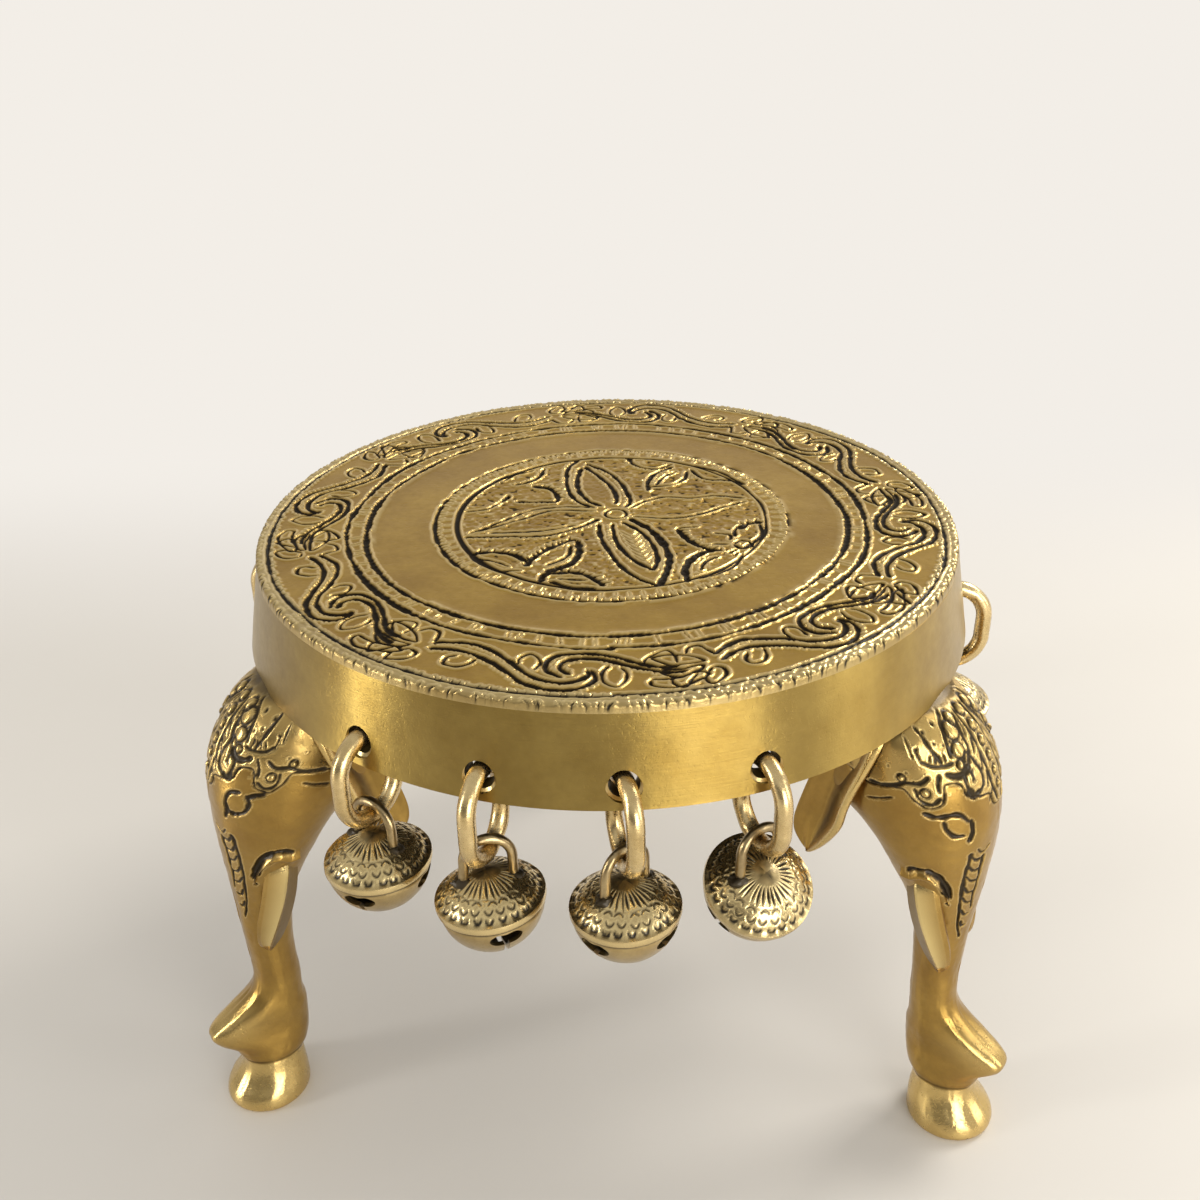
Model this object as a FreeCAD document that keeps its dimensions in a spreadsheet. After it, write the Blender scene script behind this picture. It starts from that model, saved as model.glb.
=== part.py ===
import FreeCAD
import Part
import Sketcher
import math
import os

# A round brass stool (chowki). A turned deck stands on three cast elephant-head legs, and crotal
# bells hang on thick rings through holes in its skirt. Millimetres. The origin is on the floor
# under the deck's centre, +Z is up and the front is -Y.

doc = FreeCAD.newDocument("elephant_chowki")
sheet = doc.addObject("Spreadsheet::Sheet", "sizes")
Vector = FreeCAD.Vector
Rotation = FreeCAD.Rotation
AXIS_X = Vector(1, 0, 0)
AXIS_Y = Vector(0, 1, 0)
AXIS_Z = Vector(0, 0, 1)

SIZES = {
    # deck: a flat plate with a deep skirt that flares a little
    "overall_height": 151.5,
    "top_radius": 89.0,
    "skirt_depth": 23.5,
    "skirt_flare": 4.0,
    "skirt_wall": 3.0,
    "plate_thickness": 3.5,
    "edge_round": 1.0,
    "bead_width": 3.4,
    "groove_width": 0.9,
    "groove_depth": 0.45,
    # bosses under the plate and the screws that hold the legs
    "boss_inset": 31.0,
    "boss_diameter": 12.0,
    "boss_height": 6.0,
    "screw_diameter": 5.0,
    "screw_grip": 5.0,
    "screw_head_diameter": 9.0,
    "screw_head_height": 3.0,
    "screw_slot_width": 1.2,
    "screw_slot_depth": 1.4,
    "thread_clearance": 0.05,
    "lug_hole_clearance": 0.3,
    "screw_room": 7.0,
    # legs: an elephant's head facing outwards, its trunk down to a round foot
    "leg_first_angle": -34.5,
    "leg_outset": 20.0,
    "head_inset": 22.0,
    "head_width": 35.0,
    "trunk_depth": 12.0,
    "trunk_width": 11.6,
    "foot_diameter": 22.0,
    "foot_height": 11.5,
    "toe_reach": 13.8,
    "toe_rise": 12.5,
    "toe_thickness": 20.0,
    "tusk_length": 29.0,
    "tusk_depth": 9.2,
    "tusk_width": 6.6,
    "ear_length": 41.0,
    "ear_width": 15.0,
    "ear_thickness": 4.0,
    "lug_thickness": 5.0,
    "lug_width": 16.0,
    "lug_neck_width": 20.0,
    "lug_skirt_gap": 1.5,
    # rings through the skirt
    "hole_diameter": 7.2,
    "hole_strip": 2.4,
    "bell_pitch_angle": 19.1,
    "bell_row_shift": -3.9,
    "ring_wire": 3.8,
    "ring_width": 20.0,
    "ring_straight": 4.0,
    "ring_seat_gap": 0.75,
    # crotal bells on their wire loops
    "loop_wire": 2.2,
    "loop_width": 13.0,
    "loop_gap": 0.3,
    "bell_diameter": 24.0,
    "dome_height": 7.0,
    "bowl_depth": 11.0,
    "bell_wall": 1.2,
    "bell_neck": 3.4,
    "band_height": 1.6,
    "band_proud": 0.3,
    "slit_width": 1.4,
    "slit_hole_width": 7.4,
    "slit_hole_height": 3.2,
    "slit_hole_level": 3.4,
    "pellet_diameter": 6.0,
    "pellet_gap": 0.2,
    # how far a cutting tool reaches past what it cuts
    "overrun": 2.0,
}

for row, (alias, size) in enumerate(SIZES.items(), start=1):
    sheet.set("A%d" % row, str(size))
    sheet.setAlias("A%d" % row, alias)
doc.recompute()

LEG_COUNT = 3
BELLS_PER_SIDE = 4

# How each bell of a row of four hangs at rest, in degrees. A ring and the loop on it turn about
# the upright. A shell leans outwards and sideways on its loop, and its slits turn about its axis.
RING_TURN = (0.0, -4.0, 14.0, 6.0)
LOOP_TURN = (0.0, 28.0, 36.0, 16.0)
SHELL_LEAN = (2.0, 0.0, 0.0, 24.0)
SHELL_ROLL = (2.0, 5.0, 2.0, 0.0)
SLIT_TURN = (20.0, 37.0, 50.0, 20.0)

# Lengths that several pieces share, as expressions in the sheet's sizes.
RIM = "(sizes.overall_height - sizes.skirt_depth)"
PLATE_UNDER = "(sizes.overall_height - sizes.plate_thickness)"
BOSS_UNDER = "(%s - sizes.boss_height)" % PLATE_UNDER
LUG_UNDER = "(%s - sizes.lug_thickness)" % BOSS_UNDER
BOSS_CIRCLE = "(sizes.top_radius - sizes.boss_inset)"
LEG_CIRCLE = "(sizes.top_radius + sizes.leg_outset)"
HEAD_LENGTH = "(sizes.leg_outset + sizes.head_inset)"
HOLE_LEVEL = "(%s + sizes.hole_strip + sizes.hole_diameter / 2)" % RIM
RING_LEVEL = "(%s - sizes.hole_diameter / 2 + sizes.ring_wire / 2 + sizes.ring_seat_gap)" % HOLE_LEVEL
RING_ARC = "((sizes.ring_width - sizes.ring_wire) / 2)"
RING_DROP = "(2 * %s + sizes.ring_straight)" % RING_ARC
LOOP_ARC = "((sizes.loop_width - sizes.loop_wire) / 2)"


def value(expression):
    return float(sheet.evalExpression(expression))


def put(item, x="0", y="0", z="0", rotation=None):
    # Turns an object about its own origin, then binds where that origin stands.
    if rotation is not None:
        item.Placement = FreeCAD.Placement(Vector(), rotation)
    for name, expression in (("x", x), ("y", y), ("z", z)):
        if expression != "0":
            item.setExpression("Placement.Base." + name, expression)
    return item


def primitive(kind, label, **expressions):
    item = doc.addObject("Part::" + kind, label)
    for name, expression in expressions.items():
        item.setExpression(name, expression)
    return item


def fused(label, items):
    item = doc.addObject("Part::MultiFuse", label)
    item.Shapes = items
    item.Refine = True
    return item


def cut(label, base, tool):
    item = doc.addObject("Part::Cut", label)
    item.Base = base
    item.Tool = tool
    item.Refine = False
    return item


def copy_of(label, master, placement):
    # A piece of its own that repeats a master shape elsewhere.
    item = doc.addObject("Part::Compound", label)
    item.Links = [master]
    item.Placement = placement
    return item


def turned(label, outline):
    # A body turned about Z. The outline's corners are (radius, height) expressions.
    body = doc.addObject("PartDesign::Body", label)
    sketch = body.newObject("Sketcher::SketchObject", label + "_profile")
    sketch.AttachmentSupport = ([f for f in body.Origin.OriginFeatures if f.Role == "XZ_Plane"][0], "")
    sketch.MapMode = "FlatFace"
    corners = [Vector(value(radius), value(height), 0) for radius, height in outline]
    count = len(corners)
    for i in range(count):
        sketch.addGeometry(Part.LineSegment(corners[i], corners[(i + 1) % count]), False)
    for i in range(count):
        sketch.addConstraint(Sketcher.Constraint("Coincident", i, 2, (i + 1) % count, 1))
    for i, pair in enumerate(outline):
        for kind, axis, expression, length in (
            ("DistanceX", -2, pair[0], corners[i].x),
            ("DistanceY", -1, pair[1], corners[i].y),
        ):
            if expression == "0":
                sketch.addConstraint(Sketcher.Constraint("PointOnObject", i, 1, axis))
            else:
                at = sketch.addConstraint(Sketcher.Constraint(kind, -1, 1, i, 1, length))
                sketch.setExpression("Constraints[%d]" % at, expression)
    turning = body.newObject("PartDesign::Revolution", label + "_turning")
    turning.Profile = sketch
    turning.ReferenceAxis = (sketch, ["V_Axis"])
    turning.Angle = 360
    body.Tip = turning
    return body


def oval(x, y, z, half_x, half_y, upright=False):
    # A closed smooth curve round an ellipse: level, or upright across the X axis.
    points = []
    for i in range(12):
        turn = math.radians(30 * i)
        across = Vector(half_x * math.cos(turn), half_y * math.sin(turn), 0)
        if upright:
            across = Vector(0, across.x, across.y)
        points.append(Vector(x, y, z) + across)
    curve = Part.BSplineCurve()
    curve.interpolate(points, PeriodicFlag=True)
    return Part.Wire(curve.toShape())


def lofted(label, ovals):
    item = doc.addObject("Part::Feature", label)
    item.Shape = Part.makeLoft(ovals, True, False)
    return item


# Deck. The bead along the edge is set off by a turned groove.
def make_deck():
    edge = "sizes.top_radius"
    groove = "(sizes.top_radius - sizes.bead_width)"
    foot = "(sizes.top_radius + sizes.skirt_flare)"
    top = "sizes.overall_height"
    body = turned("deck_turning", [
        ("0", top),
        (groove + " - sizes.groove_width", top),
        (groove + " - sizes.groove_width / 2", top + " - sizes.groove_depth"),
        (groove, top),
        (edge + " - sizes.edge_round", top),
        (edge, top + " - sizes.edge_round"),
        (foot, RIM),
        (foot + " - sizes.skirt_wall", RIM),
        (edge + " - sizes.skirt_wall", PLATE_UNDER),
        ("0", PLATE_UNDER),
    ])
    bosses = []
    drills = []
    for i in range(LEG_COUNT):
        angle = "(sizes.leg_first_angle + %d * 360 / %d)" % (i, LEG_COUNT)
        x = "%s * cos(%s * 1deg)" % (BOSS_CIRCLE, angle)
        y = "%s * sin(%s * 1deg)" % (BOSS_CIRCLE, angle)
        boss = primitive("Cylinder", "boss_%d" % (i + 1), Radius="sizes.boss_diameter / 2",
                         Height="sizes.boss_height + sizes.plate_thickness / 2")
        bosses.append(put(boss, x, y, BOSS_UNDER))
        drill = primitive("Cylinder", "boss_drill_%d" % (i + 1),
                          Radius="sizes.screw_diameter / 2 + sizes.thread_clearance",
                          Height="sizes.boss_height + sizes.overrun")
        drills.append(put(drill, x, y, BOSS_UNDER + " - sizes.overrun"))
    for k in range(LEG_COUNT * BELLS_PER_SIDE):
        drill = primitive("Cylinder", "skirt_drill_%d" % (k + 1), Radius="sizes.hole_diameter / 2",
                          Height="sizes.skirt_wall + sizes.skirt_flare + 2 * sizes.overrun")
        start = "(sizes.top_radius - sizes.skirt_wall - sizes.overrun)"
        angle = bell_angle(k)
        put(drill, "%s * cos(%r * 1deg)" % (start, angle), "%s * sin(%r * 1deg)" % (start, angle), HOLE_LEVEL,
            Rotation(AXIS_Z, angle) * Rotation(AXIS_Y, 90))
        drills.append(drill)
    blank = fused("deck_blank", [body] + bosses)
    return cut("deck", blank, fused("deck_drills", drills))


def bell_angle(k):
    # The bells hang in a row between each two legs, a little off its middle.
    side, place = divmod(k, BELLS_PER_SIDE)
    middle = value("sizes.leg_first_angle") - 180 / LEG_COUNT + side * 360 / LEG_COUNT
    first = middle + value("sizes.bell_row_shift") - value("sizes.bell_pitch_angle") * (BELLS_PER_SIDE - 1) / 2
    return first + place * value("sizes.bell_pitch_angle")


# Leg. Each station is a level oval. Its drop is a share of the height between the skirt and the
# foot, and its front and back are shares of the head's or trunk's depth, outwards from the foot's
# centre line.
HEAD_SHARES = (
    (0.000, -0.274, -1.012, 0.77),
    (0.034, -0.171, -1.024, 0.89),
    (0.081, -0.095, -1.012, 0.97),
    (0.159, -0.007, -0.976, 1.00),
    (0.245, 0.024, -0.905, 0.96),
    (0.322, 0.029, -0.786, 0.86),
    (0.399, 0.014, -0.631, 0.67),
    (0.468, -0.012, -0.493, 0.50),
)
TRUNK_SHARES = (
    (0.536, -0.133, -1.400, 1.19),
    (0.622, -0.192, -1.250, 1.03),
    (0.716, -0.225, -1.183, 0.99),
    (0.802, -0.125, -1.190, 1.03),
    (0.879, 0.125, -1.183, 1.15),
    (0.948, 0.333, -1.083, 1.29),
    (1.000, 0.420, -0.950, 1.36),
)
# Foot: height, radial offset and diameter as shares of the foot's own.
FOOT_SHARES = (
    (0.00, 0.000, 0.93),
    (0.18, 0.000, 1.00),
    (0.50, -0.025, 0.95),
    (0.80, -0.075, 0.80),
    (1.15, -0.120, 0.71),
)
# Toe, the trunk's tip turned outwards: reach, level, thickness and width, each as a share of its own.
TOE_SHARES = (
    (-0.36, 1.06, 0.98, 1.15),
    (0.07, 1.02, 0.92, 1.08),
    (0.50, 1.00, 0.70, 0.90),
    (0.82, 1.00, 0.44, 0.62),
    (1.00, 1.00, 0.19, 0.28),
)
# Tusk: drop along its length, radial place and side place as shares of the head, depth, width.
TUSK_SHARES = (
    (0.00, -0.300, 0.245, 0.96, 1.00),
    (0.38, -0.250, 0.265, 1.00, 1.00),
    (0.68, -0.200, 0.260, 0.86, 0.84),
    (0.88, -0.170, 0.235, 0.58, 0.62),
    (1.00, -0.155, 0.205, 0.26, 0.34),
)
# Ear: drop along its length, radial place as a share of the head, width and thickness.
EAR_SHARES = (
    (0.00, -0.71, 0.70, 0.9),
    (0.20, -0.74, 1.00, 1.0),
    (0.45, -0.80, 1.00, 1.0),
    (0.70, -0.87, 0.82, 0.9),
    (0.88, -0.91, 0.56, 0.8),
    (1.00, -0.92, 0.26, 0.5),
)
TUSK_TOP_SHARE = 0.368
EAR_TOP_SHARE = 0.027
EAR_SIDE_SHARE = 0.49
EAR_FLARE = 14.0


def make_leg_casting():
    # The casting as it stands on the +X side.
    rim = value(RIM)
    centre = value(LEG_CIRCLE)
    head_length = value(HEAD_LENGTH)
    head_width = value("sizes.head_width")
    trunk_depth = value("sizes.trunk_depth")
    trunk_width = value("sizes.trunk_width")
    foot_diameter = value("sizes.foot_diameter")
    foot_height = value("sizes.foot_height")

    def level(drop):
        # The height of a drop share, from the skirt's rim to the top of the foot.
        return rim - (rim - foot_height) * drop

    ovals = []
    for shares, depth, width in ((HEAD_SHARES, head_length, head_width), (TRUNK_SHARES, trunk_depth, trunk_width)):
        for drop, front, back, wide in shares:
            middle = centre + depth * (front + back) / 2
            ovals.append(oval(middle, 0, level(drop), depth * (front - back) / 2, width * wide / 2))
    parts = [lofted("head_and_trunk", ovals)]

    ovals = []
    for up, out, wide in FOOT_SHARES:
        radius = foot_diameter * wide / 2
        ovals.append(oval(centre + foot_diameter * out, 0, foot_height * up, radius, radius))
    parts.append(lofted("foot", ovals))

    toe_level = value("sizes.foot_height + sizes.toe_rise")
    ovals = []
    for reach, up, thick, wide in TOE_SHARES:
        x = centre + value("sizes.toe_reach") * reach
        high = value("sizes.toe_thickness") * thick / 2
        ovals.append(oval(x, 0, toe_level * up, trunk_width * wide / 2, high, upright=True))
    parts.append(lofted("toe", ovals))

    for name, side in (("left", -1), ("right", 1)):
        ovals = []
        for down, out, across, deep, wide in TUSK_SHARES:
            z = level(TUSK_TOP_SHARE) - value("sizes.tusk_length") * down
            ovals.append(oval(centre + head_length * out, side * head_width * across, z,
                              value("sizes.tusk_depth") * deep / 2, value("sizes.tusk_width") * wide / 2))
        parts.append(lofted("tusk_" + name, ovals))
        ovals = []
        for down, out, wide, thick in EAR_SHARES:
            z = level(EAR_TOP_SHARE) - value("sizes.ear_length") * down
            plate = oval(0, 0, 0, value("sizes.ear_width") * wide / 2, value("sizes.ear_thickness") * thick / 2)
            place = Vector(centre + head_length * out, side * head_width * EAR_SIDE_SHARE, z)
            plate.Placement = FreeCAD.Placement(place, Rotation(AXIS_Z, -side * EAR_FLARE))
            ovals.append(plate)
        parts.append(lofted("ear_" + name, ovals))

    # The lug reaches up inside the skirt and inwards under its boss.
    outer = "(sizes.top_radius - sizes.skirt_wall - sizes.lug_skirt_gap)"
    inner = "(%s + sizes.screw_head_diameter / 2 + sizes.screw_room)" % BOSS_CIRCLE
    neck = primitive("Box", "lug_neck", Length="%s - %s" % (outer, inner), Width="sizes.lug_neck_width",
                     Height="%s - %s + sizes.overrun" % (BOSS_UNDER, RIM))
    parts.append(put(neck, inner, "-sizes.lug_neck_width / 2", RIM + " - sizes.overrun"))
    arm = primitive("Box", "lug_arm", Length="%s - %s" % (outer, BOSS_CIRCLE), Width="sizes.lug_width",
                    Height="sizes.lug_thickness")
    parts.append(put(arm, BOSS_CIRCLE, "-sizes.lug_width / 2", LUG_UNDER))
    end = primitive("Cylinder", "lug_end", Radius="sizes.lug_width / 2", Height="sizes.lug_thickness")
    parts.append(put(end, BOSS_CIRCLE, "0", LUG_UNDER))
    drill = primitive("Cylinder", "lug_drill", Radius="sizes.screw_diameter / 2 + sizes.lug_hole_clearance",
                      Height="sizes.lug_thickness + 2 * sizes.overrun")
    put(drill, BOSS_CIRCLE, "0", LUG_UNDER + " - sizes.overrun")
    return cut("leg_casting", fused("leg_blank", parts), drill)


# Screw with a slotted head, head down, about its own axis.
def make_screw():
    head = primitive("Cylinder", "screw_head", Radius="sizes.screw_head_diameter / 2",
                     Height="sizes.screw_head_height")
    shank = primitive("Cylinder", "screw_shank", Radius="sizes.screw_diameter / 2",
                      Height="sizes.screw_head_height + sizes.lug_thickness + sizes.screw_grip")
    slot = primitive("Box", "screw_slot", Length="sizes.screw_head_diameter + 2 * sizes.overrun",
                     Width="sizes.screw_slot_width", Height="sizes.screw_slot_depth + sizes.overrun")
    put(slot, "-sizes.screw_head_diameter / 2 - sizes.overrun", "-sizes.screw_slot_width / 2", "-sizes.overrun")
    return cut("screw", fused("screw_blank", [head, shank]), slot)


def link(label, arc, wire, straight, both_ends):
    # A wire loop in the XZ plane whose upper arc is centred on the origin.
    upper = primitive("Torus", label + "_upper_arc", Radius1=arc, Radius2=wire + " / 2")
    upper.Angle3 = 180
    parts = [put(upper, rotation=Rotation(AXIS_X, 90))]
    for name, sign in (("inner", "-"), ("outer", "")):
        side = primitive("Cylinder", label + "_" + name, Radius=wire + " / 2", Height=straight)
        parts.append(put(side, sign + arc, "0", "-" + straight))
    if both_ends:
        lower = primitive("Torus", label + "_lower_arc", Radius1=arc, Radius2=wire + " / 2")
        lower.Angle3 = 180
        parts.append(put(lower, "0", "0", "-" + straight, Rotation(AXIS_X, -90)))
    return fused(label, parts)


def hollow_form(label, radius, dome, bowl):
    # A shallow domed cap over a round bowl, meeting at the height of the origin.
    ball = "((%s * %s + %s * %s) / (2 * %s))" % (radius, radius, dome, dome, dome)
    cap = primitive("Sphere", label + "_dome", Radius=ball, Angle1="asin((%s - %s) / %s)" % (ball, dome, ball))
    put(cap, "0", "0", "%s - %s" % (dome, ball))
    bowl_part = primitive("Ellipsoid", label + "_bowl", Radius1=bowl, Radius2=radius, Radius3=radius)
    bowl_part.Angle2 = 0
    return fused(label, [cap, bowl_part])


# Bell shell about the middle of its band: a dome over a bowl, and cross slits that end in wide
# bean-shaped holes just below the band.
def make_shell():
    radius = "(sizes.bell_diameter / 2 - sizes.band_proud)"
    outside = hollow_form("shell_outside", radius, "sizes.dome_height", "sizes.bowl_depth")
    band = primitive("Cylinder", "shell_band", Radius="sizes.bell_diameter / 2", Height="sizes.band_height")
    put(band, "0", "0", "-sizes.band_height / 2")
    tools = [hollow_form("shell_inside", "(%s - sizes.bell_wall)" % radius, "(sizes.dome_height - sizes.bell_wall)",
                         "(sizes.bowl_depth - sizes.bell_wall)")]
    reach = "(sizes.bell_diameter / 2 + sizes.overrun)"
    half = "(sizes.slit_hole_width / 2 - sizes.slit_hole_height / 2)"
    level = "-sizes.slit_hole_level"
    for turn, x, y in ((0, reach, "sizes.slit_width / 2"), (90, "-sizes.slit_width / 2", reach)):
        slit = primitive("Box", "slit_%d" % turn, Length=reach + " * 2", Width="sizes.slit_width",
                         Height="sizes.bowl_depth - sizes.slit_hole_level + sizes.overrun")
        put(slit, "-(%s)" % x, "-(%s)" % y, "-sizes.bowl_depth - sizes.overrun", Rotation(AXIS_Z, turn))
        tools.append(slit)
    for turn in (0, 90, 180, 270):
        # The two round ends of a bean and the flat piece between them lie side by side across its way in.
        aside = Rotation(AXIS_Z, turn).multVec(AXIS_Y)
        aside_x = "%d * %s" % (round(aside.x), half)
        aside_y = "%d * %s" % (round(aside.y), half)
        for name, sign in (("a", ""), ("b", "-")):
            end = primitive("Cylinder", "bean_%d_%s" % (turn, name), Radius="sizes.slit_hole_height / 2", Height=reach)
            put(end, "%s(%s)" % (sign, aside_x), "%s(%s)" % (sign, aside_y), level,
                Rotation(AXIS_Z, turn) * Rotation(AXIS_Y, 90))
            tools.append(end)
        middle = primitive("Box", "bean_%d" % turn, Length=reach, Width="2 * " + half, Height="sizes.slit_hole_height")
        put(middle, "-(%s)" % aside_x, "-(%s)" % aside_y, level + " - sizes.slit_hole_height / 2",
            Rotation(AXIS_Z, turn))
        tools.append(middle)
    return cut("shell", fused("shell_blank", [outside, band]), fused("shell_tools", tools))


def make_bell_set(shell, ring, pellet):
    # Rings, loops, shells and pellets, all round the deck. A bell hangs plumb below its ring.
    loop_rise = "(sizes.ring_wire / 2 + sizes.loop_gap + sizes.loop_wire / 2 - %s)" % LOOP_ARC
    shell_drop = "(sizes.ring_wire / 2 + sizes.bell_neck + sizes.dome_height)"
    loop = link("loop_form", LOOP_ARC, "sizes.loop_wire", "(%s + %s)" % (loop_rise, shell_drop), False)
    dome = hollow_form("dome_form", "(sizes.bell_diameter / 2 - sizes.band_proud)", "sizes.dome_height",
                       "sizes.bowl_depth")
    pellet_drop = "(sizes.bowl_depth - sizes.bell_wall - sizes.pellet_gap - sizes.pellet_diameter / 2)"
    hole_share = "((%s - %s) / sizes.skirt_depth)" % (HOLE_LEVEL, RIM)
    wall_radius = value("sizes.top_radius - sizes.skirt_wall / 2 + sizes.skirt_flare * (1 - %s)" % hole_share)
    pieces = []
    for k in range(LEG_COUNT * BELLS_PER_SIDE):
        name = "%02d" % (k + 1)
        place = k % BELLS_PER_SIDE
        facing = Rotation(AXIS_Z, bell_angle(k))
        pivot = facing.multVec(Vector(wall_radius, 0, 0)) + Vector(0, 0, value(RING_LEVEL))
        ring_at = FreeCAD.Placement(pivot - Vector(0, 0, value(RING_ARC)), facing * Rotation(AXIS_Z, RING_TURN[place]))
        pieces.append(copy_of("ring_" + name, ring, ring_at))
        low = pivot - Vector(0, 0, value(RING_DROP))
        loop_at = FreeCAD.Placement(low + Vector(0, 0, value(loop_rise)),
                                    facing * Rotation(AXIS_Z, 90 + LOOP_TURN[place]))
        loop_copy = copy_of("loop_form_" + name, loop, loop_at)
        lean = Rotation(AXIS_Y, SHELL_LEAN[place]) * Rotation(AXIS_X, SHELL_ROLL[place])
        centre = low - Vector(0, 0, value(shell_drop))
        shell_at = FreeCAD.Placement(centre, facing * lean * Rotation(AXIS_Z, SLIT_TURN[place]))
        pieces.append(cut("bell_loop_" + name, loop_copy, copy_of("dome_form_" + name, dome, shell_at)))
        pieces.append(copy_of("bell_" + name, shell, shell_at))
        pellet_at = FreeCAD.Placement(centre - Vector(0, 0, value(pellet_drop)), Rotation())
        pieces.append(copy_of("bell_pellet_" + name, pellet, pellet_at))
    return pieces


deck = make_deck()
casting = make_leg_casting()
screw = make_screw()
sub_parts = [deck]
for i in range(LEG_COUNT):
    turn = Rotation(AXIS_Z, value("sizes.leg_first_angle") + i * 360 / LEG_COUNT)
    sub_parts.append(copy_of("leg_%d" % (i + 1), casting, FreeCAD.Placement(Vector(), turn)))
    seat = turn.multVec(Vector(value(BOSS_CIRCLE), 0, value(LUG_UNDER + " - sizes.screw_head_height")))
    sub_parts.append(copy_of("leg_screw_%d" % (i + 1), screw, FreeCAD.Placement(seat, turn)))
ring_form = link("ring_form", RING_ARC, "sizes.ring_wire", "sizes.ring_straight", True)
pellet_form = primitive("Sphere", "pellet_form", Radius="sizes.pellet_diameter / 2")
sub_parts += make_bell_set(make_shell(), ring_form, pellet_form)
doc.recompute()

for item in doc.Objects:
    if "Invalid" in item.State or "Error" in item.State:
        raise RuntimeError("%s failed to build" % item.Label)

os.makedirs("parts", exist_ok=True)
for item in sub_parts:
    shape = item.Shape
    if shape.isNull() or not shape.isValid() or len(shape.Solids) != 1:
        raise RuntimeError("%s is not one valid solid" % item.Label)
    shape.exportStep("parts/%s.step" % item.Label)
print("%d sub-parts written" % len(sub_parts))
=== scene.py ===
import math

import bpy
import numpy as np
from mathutils import Matrix


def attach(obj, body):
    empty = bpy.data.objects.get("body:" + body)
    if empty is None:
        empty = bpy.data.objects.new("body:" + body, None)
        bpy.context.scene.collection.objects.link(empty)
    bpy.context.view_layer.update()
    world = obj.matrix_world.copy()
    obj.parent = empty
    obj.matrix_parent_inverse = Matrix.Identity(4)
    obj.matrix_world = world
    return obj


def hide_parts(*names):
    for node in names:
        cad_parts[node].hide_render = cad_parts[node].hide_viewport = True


# A cast brass stool: an engraved deck on three elephant-head legs, with bells on rings round its skirt.
# Shapes are worked out in millimetres in the frame's axes, and buildMesh turns them into metres.
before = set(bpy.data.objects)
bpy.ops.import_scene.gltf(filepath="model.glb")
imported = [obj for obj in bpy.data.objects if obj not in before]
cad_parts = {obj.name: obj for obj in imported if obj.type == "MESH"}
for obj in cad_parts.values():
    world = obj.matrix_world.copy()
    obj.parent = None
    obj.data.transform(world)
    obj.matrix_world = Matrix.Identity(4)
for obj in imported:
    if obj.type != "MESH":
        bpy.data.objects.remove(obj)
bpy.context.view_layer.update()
sizes = {"topLevel": 151.5, "topRadius": 89.0, "rimLevel": 128.0, "rimRadius": 93.0}
legAngles = (-34.5, 85.5, 205.5)
print("frame loaded:", len(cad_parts), "nodes")


def join(*parts):
    # Arrays spread to one shape and put side by side on a last axis.
    return np.stack(np.broadcast_arrays(*parts), -1)


def fullTurn(count):
    # Even angles once round, in radians.
    return np.linspace(0, 2 * math.pi, count, endpoint=False)


def onCircle(radius, turn, height):
    # Points at a distance from Z, an angle about it and a height.
    return join(radius * np.cos(turn), radius * np.sin(turn), height)


def hill(value, middle, spread):
    # A bell curve: 1 at the middle, and 1/e one spread away from it.
    return np.exp(-((value - middle) / spread) ** 2)


def between(first, last, t):
    # The straight way from one value to another.
    return first * (1 - t) + last * t


def smoothTable(at, knots, values):
    # Values between knots: a cubic whose slope at each knot is that of the line through its neighbours.
    knots, values = np.asarray(knots, float), np.asarray(values, float)
    slopes = np.gradient(values, knots, axis=0)
    at = np.clip(at, knots[0], knots[-1])
    left = np.clip(np.searchsorted(knots, at, side="right") - 1, 0, len(knots) - 2)
    span = knots[left + 1] - knots[left]
    t = (at - knots[left]) / span
    if values.ndim > 1:
        t, span = t[:, None], span[:, None]
    return (values[left] * (1 + 2 * t) * (1 - t) ** 2 + values[left + 1] * t * t * (3 - 2 * t)
            + span * (slopes[left] * t * (1 - t) ** 2 - slopes[left + 1] * t * t * (1 - t)))


def smoothLine(points, step, closed=False):
    # A curve through the points, sampled evenly along its length.
    points = np.asarray(points, float)
    if closed:
        points = np.vstack([points[-2:], points, points[:3]])
    along = np.concatenate([[0], np.cumsum(np.linalg.norm(np.diff(points, axis=0), axis=1))])
    first, last = (along[2], along[-3]) if closed else (along[0], along[-1])
    return smoothTable(np.linspace(first, last, max(int((last - first) / step), 3)), along, points)


def softNoise(x, y, size, seed):
    # Rolling values from -1 to 1: random numbers on a square net, with smooth steps between them.
    table = np.random.default_rng(seed).uniform(-1, 1, (128, 128))
    x, y = np.asarray(x) / size, np.asarray(y) / size
    i, j = np.floor(x).astype(int), np.floor(y).astype(int)
    u, v = x - i, y - j
    u, v = u * u * (3 - 2 * u), v * v * (3 - 2 * v)
    i, j = i % 127, j % 127
    near = table[i, j] * (1 - u) + table[i + 1, j] * u
    far = table[i, j + 1] * (1 - u) + table[i + 1, j + 1] * u
    return near * (1 - v) + far * v


def wave(at, size, seed):
    # Rolling values along one direction.
    return softNoise(at, at * 0, size, seed)


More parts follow.
